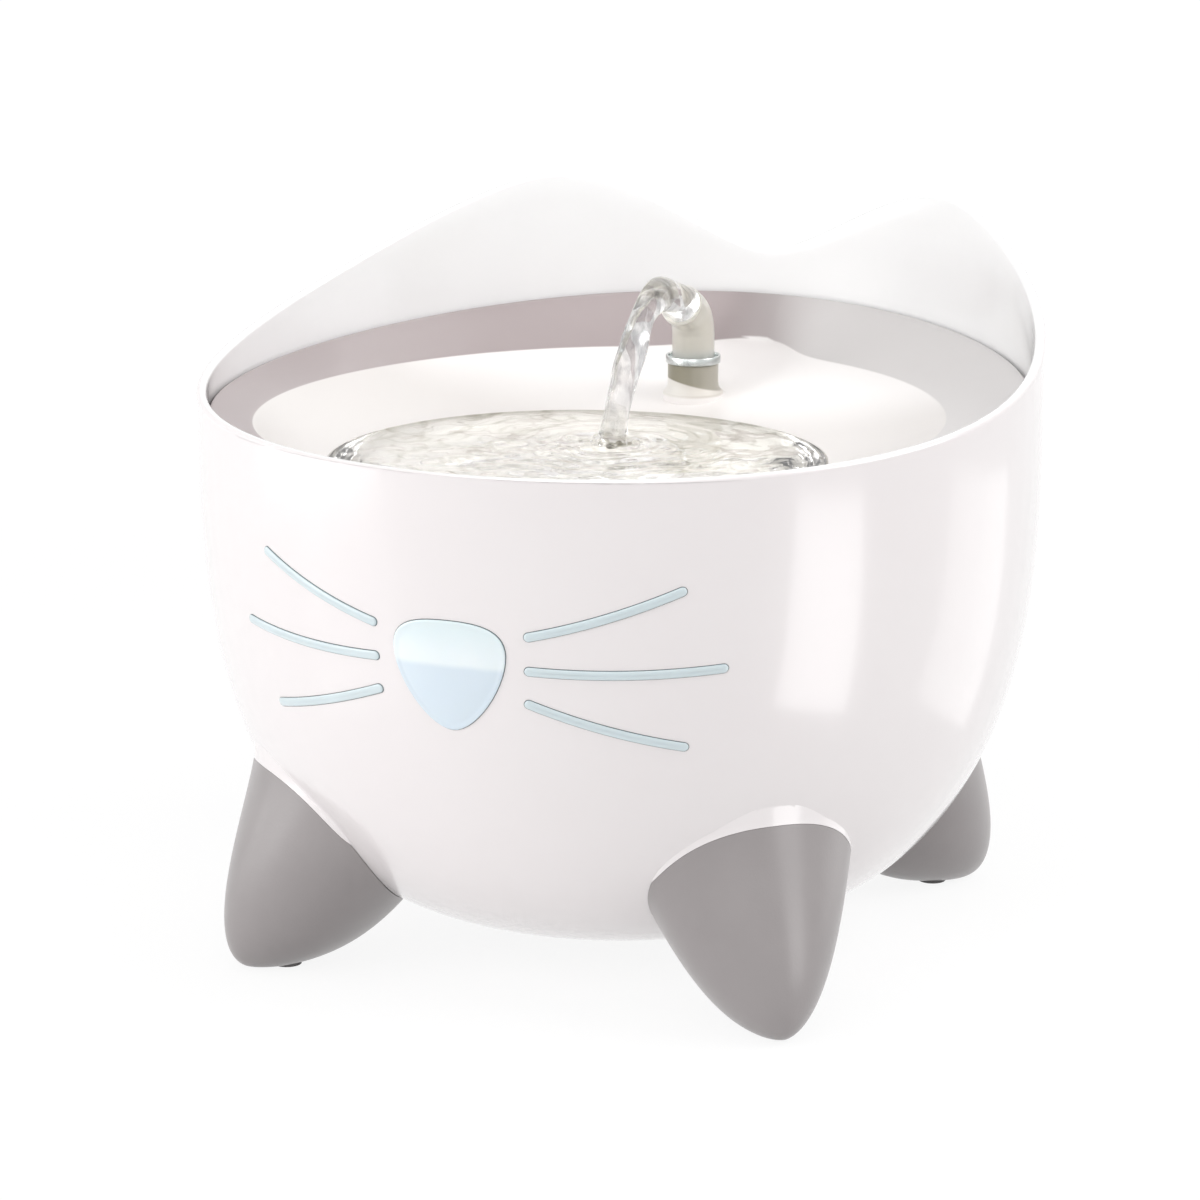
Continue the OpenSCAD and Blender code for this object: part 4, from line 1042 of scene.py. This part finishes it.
def makeTray(kit):
    spec = traySpec
    steps = spec["steps"]
    sections = [traySection(math.tau * i / steps) for i in range(steps)]
    bm = sheetOf(steps, len(sections[0]) - 1, lambda i, j: sections[i % steps][j])
    bmesh.ops.recalc_face_normals(bm, faces=bm.faces)
    bm = carved(bm, rod(spec["pedestalR"] - 0.5, 100, 170, (0, spec["spoutY"], 0)))
    bm = together(carved(bm, drainSlots()), pedestalBody())
    tray = finished("drinkingTray", bm, "tray", kit["trayCream"], ["drinking_tray"], 40,
                    deckNormal)
    level = tray.data.attributes.new("deck", "FLOAT", "POINT")
    for vert, item in zip(tray.data.vertices, level.data):
        x, y = vert.co.x / mm, vert.co.y / mm - spec["lipY"]
        lip = lipAt(math.atan2(x, y))
        item.value = float(math.hypot(x, y) > math.hypot(lip.x, lip.y - spec["lipY"]) + spec["lipDrop"])
    print("tray made")


# spout
spoutSpec = {
    "y": traySpec["spoutY"], "z": traySpec["spoutZ"], "collarR": 7.8, "bore": 6.08,
    "nozzleR": 6.0, "nozzleWall": 1.5, "up": 7.6, "bend": 9.0, "angle": 65.0, "out": 5.0,
    "stemR": 4.0, "stemBore": 2.8, "stemLen": 22.0, "floor": 1.6, "lift": 0.1, "sides": 64,
    "footSoft": 0.25, "rings": (4, 14, 4),  # up from the base, round the bend and out to the mouth
    # the collar's pairs say how far in and how high, the lip's how far back and how far in
    "collar": ((0.25, 0), (0, 0.25), (0, 2.0), (0.1, 2.17), (0.35, 2.25), (0.6, 2.17), (0.7, 2.0),
               (0.7, 0.9), (0.9, 0.7)),
    "lip": ((0.35, 0), (0.1, 0.1), (0, 0.4)), "lipInside": ((0, 0.3), (0.3, 0)),
}


def nozzlePath():  # centre and outward direction at each ring, from the base to the outlet
    spec = spoutSpec
    upward, bent, outward = spec["rings"]
    base = Vector((0, spec["y"], spec["z"] + spec["lift"]))
    path = [(base + Vector((0, 0, spec["up"] * k / upward)), 0.0) for k in range(upward)]
    turn = base + Vector((0, -spec["bend"], spec["up"]))
    for k in range(bent + 1):
        a = math.radians(spec["angle"] * k / bent)
        path.append((turn + spec["bend"] * Vector((0, math.cos(a), math.sin(a))), a))
    end, a = path[-1]
    forward = Vector((0, -math.sin(a), math.cos(a)))
    return path + [(end + forward * spec["out"] * k / outward, a) for k in range(1, outward + 1)]


def makeSpout(kit):
    spec = spoutSpec
    z, bore, top = spec["z"], spec["bore"], spec["collar"][-1][1]
    section = [(bore, z)] + [(spec["collarR"] - inwards, z + up) for inwards, up in spec["collar"]]
    ring = spun(section + [(bore, z + top), (bore, z)], 96, (0, spec["y"]))
    finished("spoutCollar", ring, "tray", kit["collarBright"], ["spout_collar"], 40)
    path = nozzlePath()
    r, hollow = spec["nozzleR"], spec["nozzleR"] - spec["nozzleWall"]
    outer = [(p, a, r - (spec["footSoft"] if k == 0 else 0)) for k, (p, a) in enumerate(path)]
    end, a = path[-1]
    forward = Vector((0, -math.sin(a), math.cos(a)))
    outer[-1:] = [(end - forward * back, a, r - inwards) for back, inwards in spec["lip"]]
    inner = [(end - forward * back, a, hollow + out) for back, out in spec["lipInside"]]
    inner += [(p, a, hollow) for p, a in reversed(path[1:-1])]
    foot = path[0][0]
    floor, low = foot + Vector((0, 0, spec["floor"])), foot - Vector((0, 0, spec["stemLen"]))
    stem = [(floor, 0, hollow), (floor, 0, spec["stemBore"]), (low, 0, spec["stemBore"]),
            (low, 0, spec["stemR"]), (foot, 0, spec["stemR"])]
    rings = outer + inner + stem + [outer[0]]

    def shape(i, j):
        middle, a, radius = rings[j]
        q = math.tau * i / spec["sides"]
        sideways = Vector((0, math.cos(a), math.sin(a)))
        return middle + radius * (math.cos(q) * Vector((1, 0, 0)) + math.sin(q) * sideways)

    finished("spoutNozzle", sheetOf(spec["sides"], len(rings) - 1, shape), "nozzle",
             kit["nozzleFrost"], ["spout_nozzle"], 40)
    print("spout made")


# water
waterSpec = {
    "level": 137.9, "ringsOut": 64, "around": 200, "landing": (0.0, -5.6), "ringWave": 0.5,
    "ringLength": 7.5, "ringReach": 22.0, "chop": 0.34, "chopScale": 15.0, "clear": 0.15,
    "poolShare": 0.995, "calmEdge": 5.0, "creep": 0.35, "creepWidth": 0.9, "leastDepth": 0.15,
    # the stream's places are how far back and how high
    "start": (44.7, 167.9), "apex": (28.0, 173.0), "end": (-5.6, 137.2), "bendFrom": (38.0, 172.0),
    "bendTo": (-4.0, 142.0), "rings": 110, "sides": 48, "length": 74.0, "streamR": 4.0, "slim": 0.78,
    "swell": 0.54, "swellPower": 1.8, "mouth": 0.16, "mouthFall": 22, "foot": 0.35, "footPower": 14,
    "lumps": 0.26, "lumpTurns": 7.0, "oval": 0.15, "ovalTurns": 9, "wide": 0.1, "wideTurns": 13,
}
splashSpec = {
    "drops": 26, "seed": 4, "r": (0.5, 1.5), "away": (2.0, 9.0), "up": (-0.3, 0.7), "flat": (0.6, 1.1),
}


def waterHeight(x, y):
    spec = waterSpec
    d = math.hypot(x - spec["landing"][0], y - spec["landing"][1])
    ring = spec["ringWave"] * math.cos(math.tau * d / spec["ringLength"])
    ring *= math.exp(-d / spec["ringReach"])
    at = Vector((x, y, 0)) / spec["chopScale"]
    chop = noise.noise(at) + 0.4 * noise.noise(at * 2.1 + Vector((7, 3, 1)))
    return ring + spec["chop"] * chop * 2


def makeWater(kit):
    spec, tray = waterSpec, traySpec
    count = spec["ringsOut"]
    basin = tray["shares"][1:]
    edgeR = tray["poolR"] * spec["poolShare"] - spec["clear"]

    def shape(i, j):
        a = math.tau * i / spec["around"]
        if j <= count:
            r = edgeR * j / count
            x, y = r * math.sin(a), tray["poolY"] + r * math.cos(a)
            calm = min(1.0, (edgeR - r) / spec["calmEdge"])
            creep = spec["creep"] * math.exp(-(edgeR - r) / spec["creepWidth"])
            return (x, y, spec["level"] + waterHeight(x, y) * calm + creep)
        share = basin[j - count - 1]
        least = tray["poolZ"] - spec["level"] + spec["leastDepth"]
        depth = max(poolDepth(share) - spec["clear"], least)
        return poolAt(a, max(share - spec["clear"] / tray["poolR"], 0), depth)

    pool = sheetOf(spec["around"], count + len(basin), shape)
    finished("poolWater", pool, "tray", kit["water"], (), 60)
    makeStream(kit)
    makeSplash(kit)
    print("water made")


def streamCentre(t):  # a falling curve on each side of the apex
    spec = waterSpec
    y = spec["start"][0] + (spec["end"][0] - spec["start"][0]) * t
    apexY, apexZ = spec["apex"]
    z0 = spec["start"][1] if y > apexY else spec["end"][1]
    y0 = spec["start"][0] if y > apexY else spec["end"][0]
    return Vector((0, y, apexZ - (apexZ - z0) * ((y - apexY) / (y0 - apexY)) ** 2))


def makeStream(kit):
    spec = waterSpec
    times = [0.0]
    while times[-1] < 1:  # rings at even distances along the curve
        here = times[-1]
        speed = (streamCentre(min(here + 0.002, 1)) - streamCentre(here - 0.002)).length / 0.004
        times.append(here + spec["length"] / spec["rings"] / speed)
    times = [min(t, 1.0) for t in times[:-1]]
    last = len(times) - 1

    def shape(i, j):
        t, share, q = times[j], j / last, math.tau * i / spec["sides"]
        ahead = (streamCentre(t + 0.004) - streamCentre(t - 0.004)).normalized()
        up = Vector((1, 0, 0)).cross(ahead)
        r = spec["streamR"] * (spec["slim"] + spec["swell"] * (1 - share) ** spec["swellPower"]
                               + spec["mouth"] * math.exp(-share * spec["mouthFall"])
                               + spec["foot"] * share ** spec["footPower"])
        r *= min(1.0, j) * min(1.0, ((last - j) / 2.0) ** 0.5)  # both ends close
        spot = Vector((math.cos(q) * 0.8, math.sin(q) * 0.8, share * spec["lumpTurns"]))
        r *= 1 + spec["lumps"] * share ** 0.5 * noise.noise(spot + Vector((3, 1, 5)))
        oval = spec["oval"] * min(1, share * 8) * (1 - 0.5 * share)
        r *= 1 + oval * math.cos(2 * q - spec["ovalTurns"] * share)
        wide = 1.0 + spec["wide"] * math.sin(share * spec["wideTurns"])
        return streamCentre(t) + r * (math.cos(q) * wide * Vector((1, 0, 0)) + math.sin(q) * up)

    # the nozzle, the tray and two bend places go with the stream, which is attached to neither
    bend = [Vector((0, *spec[key])) * mm for key in ("bendFrom", "bendTo")]
    finished("waterStream", sheetOf(spec["sides"], last, shape), ("nozzle", "tray", *bend),
             kit["water"], (), 80)


def makeSplash(kit):
    spec, (x0, y0) = splashSpec, waterSpec["landing"]
    random.seed(spec["seed"])
    drops = []
    for _ in range(spec["drops"]):
        drop = bmesh.new()
        bmesh.ops.create_icosphere(drop, subdivisions=3, radius=random.uniform(*spec["r"]) * mm)
        away, angle = random.uniform(*spec["away"]), random.uniform(0, math.tau)
        x, y = x0 + away * math.cos(angle), y0 + away * math.sin(angle)
        z = waterSpec["level"] + waterHeight(x, y) + random.uniform(*spec["up"])
        bmesh.ops.scale(drop, verts=drop.verts, vec=(1, 1, random.uniform(*spec["flat"])))
        bmesh.ops.translate(drop, verts=drop.verts, vec=Vector((x, y, z)) * mm)
        drops.append(drop)
    finished("splashDrops", together(*drops), "tray", kit["water"], (), 80)


# inner pieces keep their solids and get finishes
cadFinishes = {
    "light_guide": "guideClear", "led_board": "boardGreen", "led_cover": "coverWhite",
    "foot_pads": "padGrey", "foot_screws": "screwSteel", "cable_grommet": "padRubber",
    "pump_body": "pumpDark", "pump_cover": "pumpDark", "impeller": "impellerWhite",
    "rotor_magnet": "magnetDark", "impeller_shaft": "ceramic", "shaft_bush_front": "padRubber",
    "shaft_bush_rear": "padRubber", "outlet_seal": "padRubber", "riser_tube": "risePale",
    "suction_cups": "padRubber", "pump_gland": "padRubber", "filter_housing": "housingPale",
    "filter_lid": "housingPale", "filter_frame": "cartridgeBlue", "filter_media": "fibreWhite",
    "carbon_pack": "carbonBlack",
}


def dressSolids(kit):
    for name, finish in cadFinishes.items():
        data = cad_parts[name].data
        data.materials.clear()
        data.materials.append(kit[finish])
    print("inner pieces dressed")


# floor and background
floorSpec = {
    "half": 3000, "colour": (0.86, 0.86, 0.86, 1), "darker": 0.99, "rough": 0.9,
    "near": 0.86, "nearR": 300, "farR": 1000, "glow": 1.04,  # glow's share near by, and where it grows
}
worldSpec = {"fill": 0.35, "shown": 1.0, "colour": (1, 1, 1, 1)}


def seenRays(flow):  # 1 for what is seen straight, mirrored or through something clear
    rays = flow.node("ShaderNodeLightPath", {}, {}, 0)
    return (rays + rays.out("Is Glossy Ray") + rays.out("Is Transmission Ray")).clamp()


def floorMaterial():
    look = floorSpec
    material, flow, shader = newMaterial("paleFloor", {
        "Roughness": look["rough"], "Specular IOR Level": 0.0})
    where = place(flow)
    away = flow.node("ShaderNodeVectorMath", {"operation": "LENGTH"}, {0: where}, 1)
    share = away.rise(look["nearR"], look["farR"]) * (1 - look["near"]) + look["near"]
    second = tuple(c * look["darker"] for c in look["colour"][:3]) + (1,)
    wire(flow, shader, Base_Color=grainAt(flow, where, 2.0).blendColours(look["colour"], second))
    glow = flow.node("ShaderNodeEmission", {}, {0: (1, 1, 1, 1), 1: look["glow"]})
    matt = Flow(flow.tree, shader.outputs[0])
    mixed = flow.node("ShaderNodeMixShader", {}, {0: seenRays(flow) * share, 1: matt, 2: glow})
    flow.tree.links.new(mixed.socket, flow.tree.nodes["Material Output"].inputs["Surface"])
    return material


def makeStage():
    bm = bmesh.new()
    bmesh.ops.create_grid(bm, x_segments=2, y_segments=2, size=floorSpec["half"] * mm)
    mesh = bpy.data.meshes.new("paleFloor")
    bm.to_mesh(mesh)
    bm.free()
    mesh.materials.append(floorMaterial())
    floor = bpy.data.objects.new("paleFloor", mesh)
    scene.collection.objects.link(floor)
    world = bpy.data.worlds.new("softRoom")
    scene.world = world
    world.use_nodes = True
    background = world.node_tree.nodes["Background"]
    background.inputs["Color"].default_value = worldSpec["colour"]
    fill, shown = worldSpec["fill"], worldSpec["shown"]
    strength = seenRays(Flow(world.node_tree)) * (shown - fill) + fill
    world.node_tree.links.new(strength.socket, background.inputs["Strength"])
    print("stage made")


addView()
addLights()
makeStage()
kit = makeMaterials()
makeBowl(kit)
makeFeet(kit)
makeFace(kit)
makeTray(kit)
makeSpout(kit)
makeWater(kit)
dressSolids(kit)
